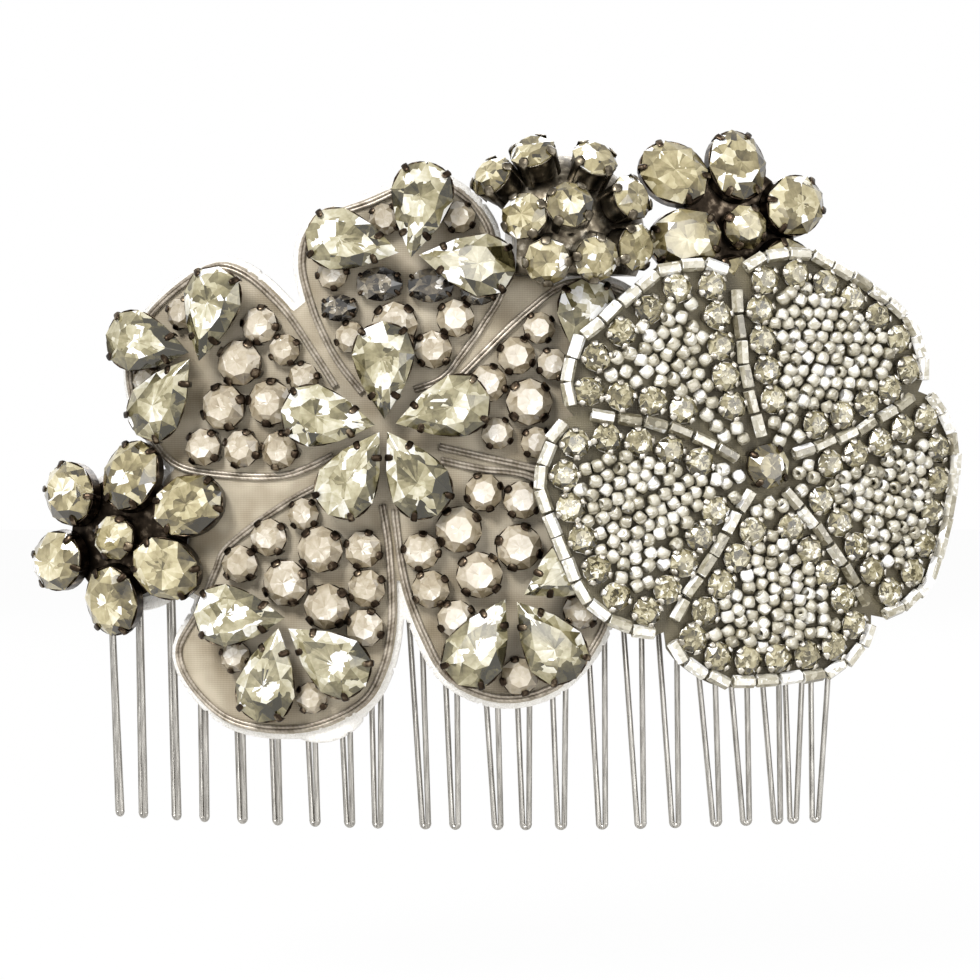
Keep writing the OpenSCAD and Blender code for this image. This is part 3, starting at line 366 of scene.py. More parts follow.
# Satin with a soft gleam, and a duller ground cloth whose dark colour is partly its own and partly painted
# shade of the gaps between the beads
satin = woven("taupe_satin", "#b7ac97", "#776950", relief=0.2, sheen=0.3)
ground_cloth_with_painted_shade = woven("taupe_ground_cloth", "#6e664f", "#433c2c", relief=0.4, sheen=0.1)
# Purl of fine silvered wire, which gleams a little, and matt cotton thread
silver_purl = purl("silver_purl_cord", "#bab0a1", "#6a5f4f", metal=0.3)
thread = purl("twisted_cotton_thread", "#f2eee6", "#c9c2b4", metal=0.0)


# Placing on the curve


def bent(u, v, lift):
    """Flat layout bent round the comb: u is an arc of the curve, v stays upright and lift is the height in
    front of the felt, so x = (R + lift) sin(u / R) and y = spine - (R + lift) cos(u / R). Gives metres."""
    u, v, lift = np.broadcast_arrays(np.asarray(u, float), v, lift)
    r = CURVE_R + lift
    return np.stack([r * np.sin(u / CURVE_R), SPINE_R - r * np.cos(u / CURVE_R), v], -1) * MM


def stands(spots, lift, spin=0.0):
    """Frames on the curved face at spots (u, v): their origins, and the axes along the curve, up and out,
    turned by spin degrees."""
    spots = np.atleast_2d(spots).astype(float)
    a = spots[:, 0] / CURVE_R
    zero = np.zeros_like(a)
    along = np.stack([np.cos(a), np.sin(a), zero], -1)
    up = np.stack([zero, zero, zero + 1], -1)
    out = np.stack([np.sin(a), -np.cos(a), zero], -1)
    s = np.radians(np.broadcast_to(np.asarray(spin, float), a.shape))[:, None]
    axes = np.stack([np.cos(s) * along + np.sin(s) * up, np.cos(s) * up - np.sin(s) * along, out], 1)
    return bent(spots[:, 0], spots[:, 1], lift), axes


def domed(at, turn, tilt, drop, reach):
    """Frames on a dome that stands on the face at one spot: each turns about the face's normal, tilts away
    from it, and goes out by reach from the dome's own centre, which lies at height drop."""
    origin, axes = stands(at, 0.0)
    along, up, out = axes[0]
    t, k = np.radians(turn)[:, None], np.radians(tilt)[:, None]
    spread = np.cos(t) * along + np.sin(t) * up
    side = np.cos(t) * up - np.sin(t) * along
    normal = np.sin(k) * spread + np.cos(k) * out
    axes = np.stack([np.cos(k) * spread - np.sin(k) * out, side, normal], 1)
    return origin[0] + (out * drop + normal * reach) * MM, axes


def placed(shape, frames):
    """Copies of a shape (points by 3, millimetres) in each frame, as one list of points in metres."""
    origin, axes = frames
    return (origin[:, None] + np.einsum("vk,nkx->nvx", shape, axes) * MM).reshape(-1, 3)


def repeated(faces, points, count):
    """The faces of one shape, numbered on for each of its copies."""
    step = (np.arange(count) * points)[:, None, None]
    return [(f[None] + step).reshape(-1, f.shape[1]) for f in faces]


# Pieces


def piece(name, node, points, faces, material, tone=None, coil=None, flat=None, soft=False):
    """Puts points and faces (arrays of equal-sided faces) into a mesh that rides on the comb and stands for
    one of its nodes."""
    mesh = bpy.data.meshes.new(name)
    sizes = np.concatenate([np.full(len(f), f.shape[1]) for f in faces])
    corners = np.concatenate([f.ravel() for f in faces])
    mesh.vertices.add(len(points))
    mesh.vertices.foreach_set("co", np.asarray(points, np.float32).ravel())
    mesh.loops.add(len(corners))
    mesh.loops.foreach_set("vertex_index", corners.astype(np.int32))
    mesh.polygons.add(len(sizes))
    mesh.polygons.foreach_set("loop_start", (np.cumsum(sizes) - sizes).astype(np.int32))
    mesh.polygons.foreach_set("use_smooth", np.full(len(sizes), soft))
    for key, held_by, values in (("tone", "CORNER", tone), ("coil", "POINT", coil)):
        if values is not None:
            column = np.asarray(values, np.float32).ravel()
            mesh.attributes.new(key, "FLOAT", held_by).data.foreach_set("value", column)
    if flat is not None:
        mesh.uv_layers.new(name="flat").data.foreach_set("uv", np.asarray(flat, np.float32)[corners].ravel())
    mesh.update(calc_edges=True)
    mesh.validate()
    made = bpy.data.objects.new(name, mesh)
    bpy.context.scene.collection.objects.link(made)
    mesh.materials.append(material)
    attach(made, "root")
    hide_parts(node)
    return made


def merged(groups):
    """Several groups of (points, faces, tone) as one, with faces of equal sides together."""
    if len(groups) == 1:
        return groups[0]
    start = np.cumsum([0] + [len(p) for p, _, _ in groups])
    points = np.concatenate([p for p, _, _ in groups])
    kinds = sorted({f.shape[1] for _, faces, _ in groups for f in faces})
    faces, tones = [], []
    for k in kinds:
        for (_, fs, tone), s in zip(groups, start):
            begin = 0
            for f in fs:
                if f.shape[1] == k:
                    faces.append(f + s)
                    if tone is not None:
                        tones.append(tone[begin:begin + f.size])
                begin += f.size
    return points, faces, (np.concatenate(tones) if tones else None)


def gems(name, node, groups, material):
    """Groups of cut stones as one piece."""
    points, faces, tone = merged(groups)
    piece(name, node, points, faces, material, tone)


def claws(name, node, groups, plating=brown_plate):
    """Groups of claw cups as one piece."""
    points, faces, _ = merged(groups)
    piece(name, node, points, faces, plating, soft=True)


# Stones and cups


def ring_faces(low, high, n):
    """Quads between two closed rings of n points that start at low and high."""
    i = np.arange(n)
    j = (i + 1) % n
    return np.stack([low + i, low + j, high + j, high + i], -1)


def oval(l, w):
    """Oval outline: half axes times cosine and sine of the angle."""
    return lambda a: np.stack([l / 2 * np.cos(a), w / 2 * np.sin(a)], -1)


def pear(l, w):
    """Pear outline: an oval narrowed by a power of the half angle's sine towards its point at angle 0."""
    c = -PEAR_POINT / (2 + PEAR_POINT)
    peak = math.sqrt(1 - c * c) * math.sqrt((1 - c) / 2) ** PEAR_POINT

    def outline(a):
        narrow = np.abs(np.sin(a / 2)) ** PEAR_POINT
        return np.stack([l / 2 * np.cos(a), w / 2 * np.sin(a) * narrow / peak], -1)
    return outline


def cut_stone(outline, n, base, rim, crown, table, culet=0.0):
    """Cut stone: rings of the outline at falling scale, the table's turned half a step against the edge's,
    joined by three-sided facets, and the table split into long facets that meet over the culet, where the
    back of the stone shows through. Returns its points, its faces, the way each face looks round the stone,
    and its row of facets."""
    a = 2 * math.pi * np.arange(n) / n
    h = a + math.pi / n
    rows = [(a, 0.6, base), (a, 1.0, rim - GIRDLE), (a, 1.0, rim), (h, table, rim + crown)]
    points = np.concatenate([np.column_stack([outline(t) * s, np.full(n, z)]) for t, s, z in rows])
    ring = points[-n:]
    points = np.concatenate([points, (ring + np.roll(ring, -1, axis=0)) / 2, [[culet, 0, rim + crown]]])
    i = np.arange(n)
    after, before = (i + 1) % n, (i - 1) % n
    back, low, edge, top, half, tip = (n * r for r in range(6))
    last = np.full(n, tip)
    fours = [ring_faces(back, low, n), ring_faces(low, edge, n)]
    threes = [np.stack([edge + i, edge + after, top + i], -1),
        np.stack([top + before, edge + i, top + i], -1),
        np.stack([top + i, half + i, last], -1), np.stack([half + i, top + after, last], -1)]
    faces = [np.concatenate(fours), np.concatenate(threes), i[None, ::-1]]
    middle = np.concatenate([points[f].mean(1) for f in faces]) - points[-1]
    level = np.concatenate([np.full(n, v) for v in (0, 0, 1, 2, 3, 4)] + [[0]])
    return points, faces, np.arctan2(middle[:, 1], middle[:, 0]), level


def facet_tones(turn, level, axes, seed, bright, contrast, ring):
    """Painted light and reflections on each facet of each stone: facets round the edge that look up and to
    one side, towards a seeded painted light, are painted bright and the ones across from them painted dark.
    Through the table, rows 3 and 4, the back's facets show the other way round as painted reflections, every
    second one darker, with one brighter painted glare patch. ring sets the table off from the edge."""
    rng = np.random.default_rng(seed)
    count = len(axes)
    # a seeded way of painted light for each stone, about 120 degrees, up and to one side
    t = np.radians(rng.normal(120, 30, count))
    lamp = np.stack([np.cos(t), 0 * t, np.sin(t)], -1)
    toward = np.arctan2((lamp * axes[:, 1]).sum(1), (lamp * axes[:, 0]).sum(1))
    swing = np.cos(turn[None] - toward[:, None])
    chance = rng.uniform(-1, 1, swing.shape)
    edge = -ring + contrast * (0.55 * swing + 0.7 * chance)
    other = np.where(level == 4, -1, 1) * rng.uniform(0.0, 0.12, (count, 1))
    # one painted glare patch on each table
    patch = np.cos(turn[None] - rng.uniform(0, 2 * np.pi, (count, 1)))
    painted_glare = np.clip(patch - 0.55, 0, 1) * rng.uniform(0.2, 1.6, (count, 1))
    through = ring + contrast * (other - 0.35 * swing + 0.18 * chance + painted_glare)
    tone = bright + rng.uniform(-0.06, 0.06, (count, 1)) + np.where(level >= 3, through, edge)
    return np.clip(tone, 0, 1)


def stone_group(shape, frames, seed, bright, contrast, ring=0.05, fade=0.3):
    """Cut stones of one shape in their frames, as a group for one piece. Each facet's painted reflection tone
    fades across it in a seeded direction, as a painted reflection gradient: tone + fade * (way . offset from
    the facet's middle) / half the stone's reach."""
    points, faces, turn, level = shape
    count = len(frames[0])
    tones = facet_tones(turn, level, frames[1], seed, bright, contrast, ring)
    way = np.random.default_rng(seed + 5000).uniform(-1, 1, (count, len(level), 2))
    way = way * fade / np.abs(points).max() * 2
    ends = np.cumsum([0] + [len(f) for f in faces])
    parts = []
    for f, a, b in zip(faces, ends[:-1], ends[1:]):
        offset = points[f][..., :2] - points[f][..., :2].mean(1, keepdims=True)
        parts.append((tones[:, a:b, None] + np.einsum("nfx,fkx->nfk", way[:, a:b], offset)).ravel())
    return placed(points, frames), repeated(faces, len(points), count), np.concatenate(parts)


def cup_shape(outline, n, w, under, rim, foot, claws_at, run, rise, width, path=7, sides=8):
    """Claw cup: rings of the outline from the foot up to a rounded lip and down inside, and claws, each an
    oval profile carried up the wall and over the edge along the stone's slope, which goes in by run and up by
    rise. w is the outline's width, under the height of a narrow foot, and claws_at are angles in degrees."""
    a = 2 * math.pi * np.arange(n) / n
    # scales of the rings that lie in from the outline by these millimetres
    wall, lip, inner, room = (1 + 2 * m / w for m in (-0.08, -0.04, -0.1, -0.2))
    rows = [(foot, 0.0), (foot, under), (0.8 if under else foot + 0.06, under), (wall, rim - 0.35),
        (lip, rim - 0.22), (inner, rim - 0.2), (room, rim - 0.3), (0.6, rim - 0.5)]
    points = np.concatenate([np.column_stack([outline(a) * s, np.full(n, z)]) for s, z in rows])
    faces = np.concatenate([ring_faces(q * n, (q + 1) * n, n) for q in range(len(rows) - 1)])
    caps = [np.arange(n)[None, ::-1], (len(rows) - 1) * n + np.arange(n)[None]]
    angles = np.radians(np.asarray(claws_at, float))
    spot = outline(angles)
    way = outline(angles + 0.01) - outline(angles - 0.01)
    way /= np.linalg.norm(way, axis=1, keepdims=True)
    normal = np.stack([way[:, 1], -way[:, 0]], -1)
    # a claw's line as (out, up): up the wall, round the edge, then in along the slope, a little above it
    slope = np.array([run, rise]) / math.hypot(run, rise)
    reach = 0.62 * math.hypot(run, rise)
    above = 0.08
    s = np.linspace(0, 1, path - 3)[1:]
    over = np.stack([-s * reach * slope[0] + above * slope[1],
        rim + s * reach * slope[1] + above * slope[0]], -1)
    line = np.concatenate([[[0.0, max(under, 0) + 0.15], [0.1, rim - 0.1], [0.07, rim + 0.12]], over])
    last = len(line) - 1
    ahead = np.gradient(line, axis=0)
    ahead /= np.linalg.norm(ahead, axis=1, keepdims=True)
    thick = np.interp(np.arange(last + 1), [0, last - 1, last], [0.12, 0.12, 0.06])
    widths = [width * 0.4, width * 0.5, width * 0.5, width * 0.26]
    wide = np.interp(np.arange(last + 1), [0, 2, last - 1, last], widths)
    t = 2 * math.pi * np.arange(sides) / sides
    across = np.stack([-ahead[:, 1], ahead[:, 0]], -1)
    flat = line[:, None] + across[:, None] * (thick[:, None] * np.sin(t))[..., None]
    sideways = (wide[:, None] * np.cos(t))[None, ..., None]
    ring = spot[:, None, None] + normal[:, None, None] * flat[None, ..., :1] + way[:, None, None] * sideways
    height = np.broadcast_to(flat[..., 1], ring.shape[:-1])
    claw = np.concatenate([ring, height[..., None]], -1).reshape(-1, 3)
    one = np.concatenate([ring_faces(q * sides, (q + 1) * sides, sides) for q in range(last)])
    close = np.stack([np.arange(sides)[::-1], last * sides + np.arange(sides)])
    start = (len(points) + np.arange(len(angles)) * (last + 1) * sides)[:, None, None]
    fours = np.concatenate([faces, (one[None] + start).reshape(-1, 4)])
    return np.concatenate([points, claw]), [fours, (close[None] + start).reshape(-1, sides)] + caps


def cup_group(shape, frames):
    """Cups of one shape in their frames, as a group for one piece."""
    points, faces = shape
    return placed(points, frames), repeated(faces, len(points), len(frames[0])), None


def round_rim(d):
    """Height of a round cup's rim over its foot, for a stone that shows wider than its cup's room."""
    return CUP_FLOOR + 0.2 * (d - ROUND_OVER) + GIRDLE


def round_cut(d, rim, n=8):
    """Round stone of diameter d with its edge at height rim."""
    return cut_stone(oval(d, d), n, rim - GIRDLE - 0.18 * d, rim, 0.18 * d, TABLE)


def round_cup(d, rim, foot=0.8, n=24, width=0.22, **claw):
    """Cup of a round stone, with claws as wide as a share of the diameter."""
    run, rise = d / 2 * (1 - TABLE), 0.19 * d
    return cup_shape(oval(d, d), n, d, 0.0, rim, foot, ROUND_CLAWS, run, rise, width * d, **claw)


def pear_pieces(petal, seed):
    """The pear stones of one petal, with their cups."""
    spots = np.array(PEARS[petal], float)
    frames = stands(FLOWER + spots[:, :2], SATIN_T, spots[:, 2] + 180)
    outline = pear(*PEAR)
    cut = cut_stone(outline, 10, PEAR_SEAT + CUP_FLOOR, PEAR_RIM, crown=1.2, table=TABLE, culet=-1.3)
    cup = cup_shape(outline, 32, PEAR[1], PEAR_SEAT, PEAR_RIM, foot=0.4, claws_at=PEAR_CLAWS, run=1.5,
        rise=1.2, width=0.8)
    stones = stone_group(cut, frames, seed, bright=0.43, contrast=0.34)
    gems(petal + "_cut_pears", petal + "_pear_stones", [stones], pale_champagne)
    claws(petal + "_pear_claws", petal + "_pear_cups", [cup_group(cup, frames)])


def petal_stones(petal, seed):
    """The round and pear stones of one petal, with their cups."""
    spots = np.array(ROUNDS[petal])
    rng = np.random.default_rng(seed)
    stones, cups = [], []
    for size, d in enumerate(ROUND_D):
        these = spots[spots[:, 2] == size, :2]
        if len(these):
            frames = stands(FLOWER + these, SATIN_T, rng.uniform(-40, 40, len(these)))
            cut, cup = round_cut(d, round_rim(d)), round_cup(d, round_rim(d))
            stones.append(stone_group(cut, frames, seed + 10 + size, bright=0.54, contrast=0.2, ring=0.1,
                fade=0.2))
            cups.append(cup_group(cup, frames))
    gems(petal + "_cut_rounds", petal + "_round_stones", stones, ivory)
    claws(petal + "_round_claws", petal + "_round_cups", cups)
    pear_pieces(petal, seed + 20)


def dark_stones():
    """The dark oval stones of the top petal, in two sizes."""
    stones, cups = [], []
    for size, (l, w) in enumerate(zip(DARK_L, DARK_W)):
        frames = stands(FLOWER + DARKS[DARKS[:, 2] == size, :2], SATIN_T)
        cut = cut_stone(oval(l, w), 9, CUP_FLOOR, DARK_CUP_H, crown=0.7, table=TABLE)
        cup = cup_shape(oval(l, w), 24, w, 0.0, DARK_CUP_H, foot=0.9, claws_at=OVAL_CLAWS, run=0.8, rise=0.7,
            width=0.5)
        stones.append(stone_group(cut, frames, seed=800 + size, bright=0.42, contrast=0.36))
        cups.append(cup_group(cup, frames))
    gems("cut_dark_ovals", "dark_stones", stones, smoke)
    claws("dark_oval_claws", "dark_stone_cups", cups)


def posy(side, at, places, seed):
    """A posy: oval stones and a round one on a domed plate."""
    drop = POSY_TOP - POSY_DOME_R
    tilt = np.degrees(np.arcsin(places[:, 1] / (POSY_DOME_R + OVAL_CUP_H)))
    frames = domed(at, places[:, 0], tilt, drop, POSY_DOME_R)
    cut = cut_stone(oval(*OVAL), 8, CUP_FLOOR, OVAL_CUP_H, crown=1.05, table=OVAL_TABLE)
    cup = cup_shape(oval(*OVAL), 32, OVAL[1], 0.0, OVAL_CUP_H, foot=0.95, claws_at=OVAL_CLAWS, run=1.5,
        rise=1.05, width=0.8)
    stones = stone_group(cut, frames, seed, bright=0.4, contrast=0.3)
    gems(side + "_cut_ovals", side + "_posy_ovals", [stones], champagne)
    claws(side + "_oval_claws", side + "_posy_oval_cups", [cup_group(cup, frames)])
    frames = domed(at, turn=np.array([20.0]), tilt=np.array([0.0]), drop=drop, reach=POSY_DOME_R)
    stones = stone_group(round_cut(POSY_CENTRE_D, OVAL_CUP_H), frames, seed + 1, bright=0.41, contrast=0.36)
    gems(side + "_cut_middle", side + "_posy_centre", [stones], champagne)
    cups = cup_group(round_cup(POSY_CENTRE_D, OVAL_CUP_H), frames)
    claws(side + "_middle_claws", side + "_posy_centre_cup", [cups])


def top_cluster():
    """Round stones on tall cups that face outwards from a dome."""
    tilt, turn = CLUSTER[:, 0], CLUSTER[:, 1]
    frames = domed(CLUSTER_AT, turn, tilt, CLUSTER_DOME_H - CLUSTER_DOME_R, CLUSTER_DOME_R)
    stones = stone_group(round_cut(CLUSTER_D, CLUSTER_CUP_H), frames, seed=940, bright=0.47, contrast=0.36)
    gems("cluster_cut_rounds", "cluster_stones", [stones], champagne)
    cups = cup_group(round_cup(CLUSTER_D, CLUSTER_CUP_H, foot=0.7), frames)
    claws("cluster_claws", "cluster_cups", [cups], worn_plate)


for order, petal in enumerate(ROUNDS):
    petal_stones(petal, seed=100 * (order + 1))
pear_pieces("centre", seed=700)
dark_stones()
posy("left", LEFT_POSY, LEFT_OVALS, seed=900)
posy("right", RIGHT_POSY, RIGHT_OVALS, seed=920)
top_cluster()


# Cloth, felt and cords


def smooth_line(points, steps):
    """Curve through given points: each span blends its four nearest points by a cubic that keeps the
    direction from span to span."""
    p = np.asarray(points, float)
    q = np.concatenate([p[:1], p, p[-1:]])
    t = (np.arange(steps) / steps)[None, :, None]
    a, b, c, d = q[:-3, None], q[1:-2, None], q[2:-1, None], q[3:, None]
    second, third = 2 * a - 5 * b + 4 * c - d, 3 * b - a - 3 * c + d
    line = 0.5 * (2 * b + (c - a) * t + second * t ** 2 + third * t ** 3)
    return np.concatenate([line.reshape(-1, 2), p[-1:]])


def square_to(line):
    """Unit direction square to a line at each of its points, on its right."""
    d = np.gradient(line, axis=0)
    d /= np.linalg.norm(d, axis=1, keepdims=True)
    return np.stack([d[:, 1], -d[:, 0]], -1)


def runs(line):
    """Distance along a line to each of its points."""
    return np.concatenate([[0], np.cumsum(np.linalg.norm(np.diff(line, axis=0), axis=1))])


def even(line, step):
    """The same line with points at equal distances of about step."""
    run = runs(line)
    s = np.linspace(0, run[-1], max(8, int(run[-1] / step)))
    return np.stack([np.interp(s, run, line[:, k]) for k in range(line.shape[1])], -1)


def inside_by(loop, grid):
    """Signed distance from each grid point to a closed loop, positive inside: the nearest of its sides, with
    the sign from how often a ray to the right crosses the loop."""
    a, b = loop, np.roll(loop, -1, axis=0)
    p = grid[:, None]
    ab = b - a
    t = np.clip(((p - a) * ab).sum(-1) / np.maximum((ab * ab).sum(-1), 1e-9), 0, 1)
    far = np.linalg.norm(p - a - t[..., None] * ab, axis=-1).min(1)
    above = (a[:, 1] > p[..., 1]) != (b[:, 1] > p[..., 1])
    rise = np.where(np.abs(ab[:, 1]) < 1e-9, 1e-9, ab[:, 1])
    right = p[..., 0] < a[:, 0] + (p[..., 1] - a[:, 1]) * ab[:, 0] / rise
    return np.where((above & right).sum(1) % 2 == 1, far, -far)


def four_corners(grid):
    """The values at the four corners of each square of a grid, in order round it."""
    return grid[:-1, :-1], grid[1:, :-1], grid[1:, 1:], grid[:-1, 1:]


def cut_sheet(loops, rounds, hole=None):
    """Flat sheet cut to joined loops and rounds: a grid whose points near the outline move onto it along the
    slope of the signed distance, and whose squares outside are dropped. Returns points (u, v), quads and
    distances in from the outline."""
    step = SHEET_STEP
    low = np.min([l.min(0) for l in loops] + [[u - r, v - r] for u, v, r in rounds], 0) - 2 * step
    high = np.max([l.max(0) for l in loops] + [[u + r, v + r] for u, v, r in rounds], 0) + 2 * step
    u, v = np.arange(low[0], high[0], step), np.arange(low[1], high[1], step)
    grid = np.stack(np.meshgrid(u, v, indexing="ij"), -1)
    flat = grid.reshape(-1, 2)
    depth = np.max([inside_by(l, flat) for l in loops]
        + [r[2] - np.linalg.norm(flat - np.array(r[:2]), axis=1) for r in rounds], 0)
    if hole is not None:
        depth = np.minimum(depth, hole(flat))
    depth = depth.reshape(grid.shape[:2])
    slope = np.stack(np.gradient(depth, step), -1)
    slope /= np.maximum(np.linalg.norm(slope, axis=-1, keepdims=True), 0.3)
    near = 0.62 * step
    grid = np.where((np.abs(depth) < near)[..., None], grid - depth[..., None] * slope, grid)
    a, b, c, d = four_corners(depth > -near)
    ok = a & b & c & d
    a, b, c, d = four_corners(depth)
    ok &= (a + b + c + d) / 4 > 0.05 * step
    number = np.arange(grid.shape[0] * grid.shape[1]).reshape(grid.shape[:2])
    quads = np.stack(four_corners(number), -1)[ok]
    used, quads = np.unique(quads, return_inverse=True)
    return grid.reshape(-1, 2)[used], quads.reshape(-1, 4), np.maximum(depth.reshape(-1)[used], 0)


def slab(spots, quads, over, under):
    """Closed sheet from a flat cut: its front at the heights over, its back at the heights under, and walls
    along the edges that belong to one quad only."""
    n = len(spots)
    points = np.concatenate([bent(spots[:, 0], spots[:, 1], lift) for lift in (over, under)])
    edges = np.stack([quads, np.roll(quads, -1, axis=1)], -1).reshape(-1, 2)
    key = np.sort(edges, 1) @ np.array([n, 1])
    order, counts = np.unique(key, return_counts=True)
    rim = edges[np.isin(key, order[counts == 1])]
    walls = np.stack([rim[:, 1], rim[:, 0], rim[:, 0] + n, rim[:, 1] + n], -1)
    return points, [np.concatenate([quads, quads[:, ::-1] + n, walls])]


def ripple(spots, size, seed):
    """Slow unevenness of a cloth: the mean of six waves 3 to 9 mm long in seeded directions, times size."""
    rng = np.random.default_rng(seed)
    turn, length, start = rng.uniform(0, np.pi, 6), rng.uniform(3, 9, 6), rng.uniform(0, 6.28, 6)
    way = np.stack([np.cos(turn), np.sin(turn)], -1) * (2 * np.pi / length)[:, None]
    return size * np.sin(spots @ way.T + start).mean(1)


def grown_loops(margin):
    """The petals' outlines, a margin outside their cords."""
    lines = [smooth_line(p, steps=4) for p in PETAL_LINES.values()]
    return [FLOWER + q + margin * square_to(q) for q in lines]


def laid_sheet(name, node, spots, quads, over, under, material):
    """A sheet that lies on another piece, with its flat map."""
    points, faces = slab(spots, quads, over, under)
    made = piece(name, node, points, faces, material, flat=np.tile(spots, (2, 1)), soft=True)


def felt_backing():
    """White felt behind everything, with a soft rounded edge."""
    spots, quads, depth = cut_sheet(grown_loops(FELT_MARGIN), FELT_ROUNDS)
    edge = 0.22 * np.exp(-(depth / 0.5) ** 2)
    over = -edge + ripple(spots, size=0.03, seed=3) * (depth > 0.5)
    under = -FELT_T + edge
    laid_sheet("felt_cut", "felt_backing", spots, quads, over, under, felt)


def satin_ground():
    """Taupe satin over the felt, slightly uneven, turned down at its edge, with room for the metal plates."""
    def plates(p):
        q = p - CLUSTER_AT
        corner = np.max([-(q[:, 0] + CLUSTER_SIDE + SEAT_GAP), -(q[:, 1] + CLUSTER_CUT + SEAT_GAP),
            np.hypot(q[:, 0], q[:, 1]) - CLUSTER_RIM_R - SEAT_GAP], 0)
        return np.minimum(corner, np.hypot(*(p - LEFT_POSY).T) - POSY_PLATE_R - SEAT_GAP)
    rounds = [FELT_ROUNDS[i] for i in SATIN_ROUNDS]
    rounds = [(u, v, r - FELT_MARGIN + SATIN_MARGIN) for u, v, r in rounds]
    spots, quads, depth = cut_sheet(grown_loops(SATIN_MARGIN), rounds, plates)
    edge = 0.2 * np.exp(-(depth / 0.45) ** 2)
    over = SATIN_T - edge + ripple(spots, size=0.12, seed=5) * np.clip(depth, 0, 1)
    under = 0.02 + 0 * depth
    laid_sheet("satin_cut", "satin_ground", spots, quads, over, under, satin)


def wound_cord(path, normal, d, pitch, deep):
    """Tube round a path whose radius swells once per coil: radius = d / 2 less a part that follows a cosine
    along the path, and the coil value tells high places from low ones. path and normal are in millimetres."""
    sides = 8
    way = np.gradient(path, axis=0)
    way /= np.linalg.norm(way, axis=1, keepdims=True)
    side = np.cross(way, normal)
    side /= np.linalg.norm(side, axis=1, keepdims=True)
    up = np.cross(side, way)
    t = 2 * math.pi * np.arange(sides) / sides
    high = 0.5 + 0.5 * np.cos(2 * math.pi * runs(path)[:, None] / pitch + t[None])
    r = d / 2 * (1 - deep * (1 - high))
    round_it = np.cos(t)[None, :, None] * side[:, None] + np.sin(t)[None, :, None] * up[:, None]
    points = path[:, None] + r[..., None] * round_it
    n = len(path)
    faces = (ring_faces(0, sides, sides)[None] + (np.arange(n - 1) * sides)[:, None, None]).reshape(-1, 4)
    ends = np.stack([np.arange(sides)[::-1], (n - 1) * sides + np.arange(sides)])
    return points.reshape(-1, 3) * MM, [faces, ends], high.reshape(-1)


def cord_piece(name, node, strands, material):
    """Wound strands as one piece, with the coil value at every point."""
    points, faces, _ = merged([(p, f, None) for p, f, _ in strands])
    coil = np.concatenate([c for _, _, c in strands])
    piece(name, node, points, faces, material, coil=coil, soft=True)


def petal_cords():
    """Two purl strands side by side along each petal's line."""
    strand, apart = CORD_D * 0.52, 0.24 * CORD_D
    for petal, line in PETAL_LINES.items():
        path = even(smooth_line(line, steps=12), step=0.13)
        strands = []
        for offset in (-apart, apart):
            spots = FLOWER + path + offset * square_to(path)
            centre = bent(spots[:, 0], spots[:, 1], SATIN_T + strand / 2) / MM
            out = bent(spots[:, 0], spots[:, 1], SATIN_T + strand / 2 + 1) / MM - centre
            strands.append(wound_cord(centre, out, strand, pitch=0.52, deep=0.03))
        cord_piece(petal + "_purl", petal + "_cord", strands, silver_purl)


def edge_r(t):
    """Radius of the beaded flower's edge across a lobe: the notch radius plus a half round swell, less a dent
    in the middle."""
    swell = np.sqrt(np.maximum(0, np.sin(np.pi * t)))
    return NOTCH_R + (LOBE_R - NOTCH_R) * swell - LOBE_DENT * np.maximum(0, 1 - ((t - 0.5) / DENT_HALF) ** 2)


def lobe_point(k, t, inset):
    """Point of lobe k's edge at t across it, moved in by inset."""
    a = np.radians(DIVIDERS[k] + SPANS[k] * t)
    return (edge_r(t) - inset)[..., None] * np.stack([np.cos(a), np.sin(a)], -1)


def polar_slab(edge, rings, over, under, bulge=0.0):
    """Closed round sheet: rings of an edge loop at growing scale from a middle point, front and back, with a
    wall between the two that bulges by a sine."""
    n = len(edge)
    s = np.linspace(0, 1, rings + 1)[1:]
    disc = np.concatenate([[[0, 0]], (s[:, None, None] * edge[None]).reshape(-1, 2)])
    tall = np.linspace(0, 1, 6)[1:-1]
    wall = np.concatenate([edge * (1 + bulge * math.sin(math.pi * q)) for q in tall])
    heights = np.repeat(over + (under - over) * tall, n)
    m = len(disc)
    i = np.arange(n)
    fan = np.stack([0 * i, 1 + i, 1 + (i + 1) % n], -1)
    rows = np.concatenate([ring_faces(1 + q * n, 1 + (q + 1) * n, n) for q in range(rings - 1)])
    last = 1 + (rings - 1) * n
    steps = [last, *(2 * m + q * n for q in range(len(tall))), m + last]
    side = np.concatenate([ring_faces(p, q, n) for p, q in zip(steps[:-1], steps[1:])])
    spots = np.concatenate([disc, disc, wall])
    lift = np.concatenate([np.full(m, over), np.full(m, under), heights])
    fours = np.concatenate([rows[:, ::-1], rows + m, side])[:, ::-1]
    return spots, lift, [np.concatenate([fan, fan[:, ::-1] + m]), fours]


def beaded_ground():
    """Ground cloth and felt pad of the beaded flower."""
    t = np.arange(24) / 24
    edge = np.concatenate([lobe_point(k, t, 0) for k in range(LOBES)])
    spots, lift, faces = polar_slab(edge, rings=8, over=CLOTH_TOP, under=PAD_T)
    points = bent(BEADED[0] + spots[:, 0], BEADED[1] + spots[:, 1], lift)
    # the ground cloth's dark colour is partly painted shade between the beads
    made = piece("beaded_ground", "beaded_cloth", points, faces, ground_cloth_with_painted_shade, flat=spots)
    turn = 2 * math.pi * np.arange(72) / 72
    edge = PAD_R * np.stack([np.cos(turn), np.sin(turn)], -1)
    spots, lift, faces = polar_slab(edge, rings=5, over=PAD_T, under=0.0, bulge=0.03)
    points = bent(BEADED[0] + PAD_SHIFT + spots[:, 0], BEADED[1] + spots[:, 1], lift)
    made = piece("pad", "beaded_pad", points, faces, felt)


felt_backing()
satin_ground()
petal_cords()
beaded_ground()


# Beads and chain stones


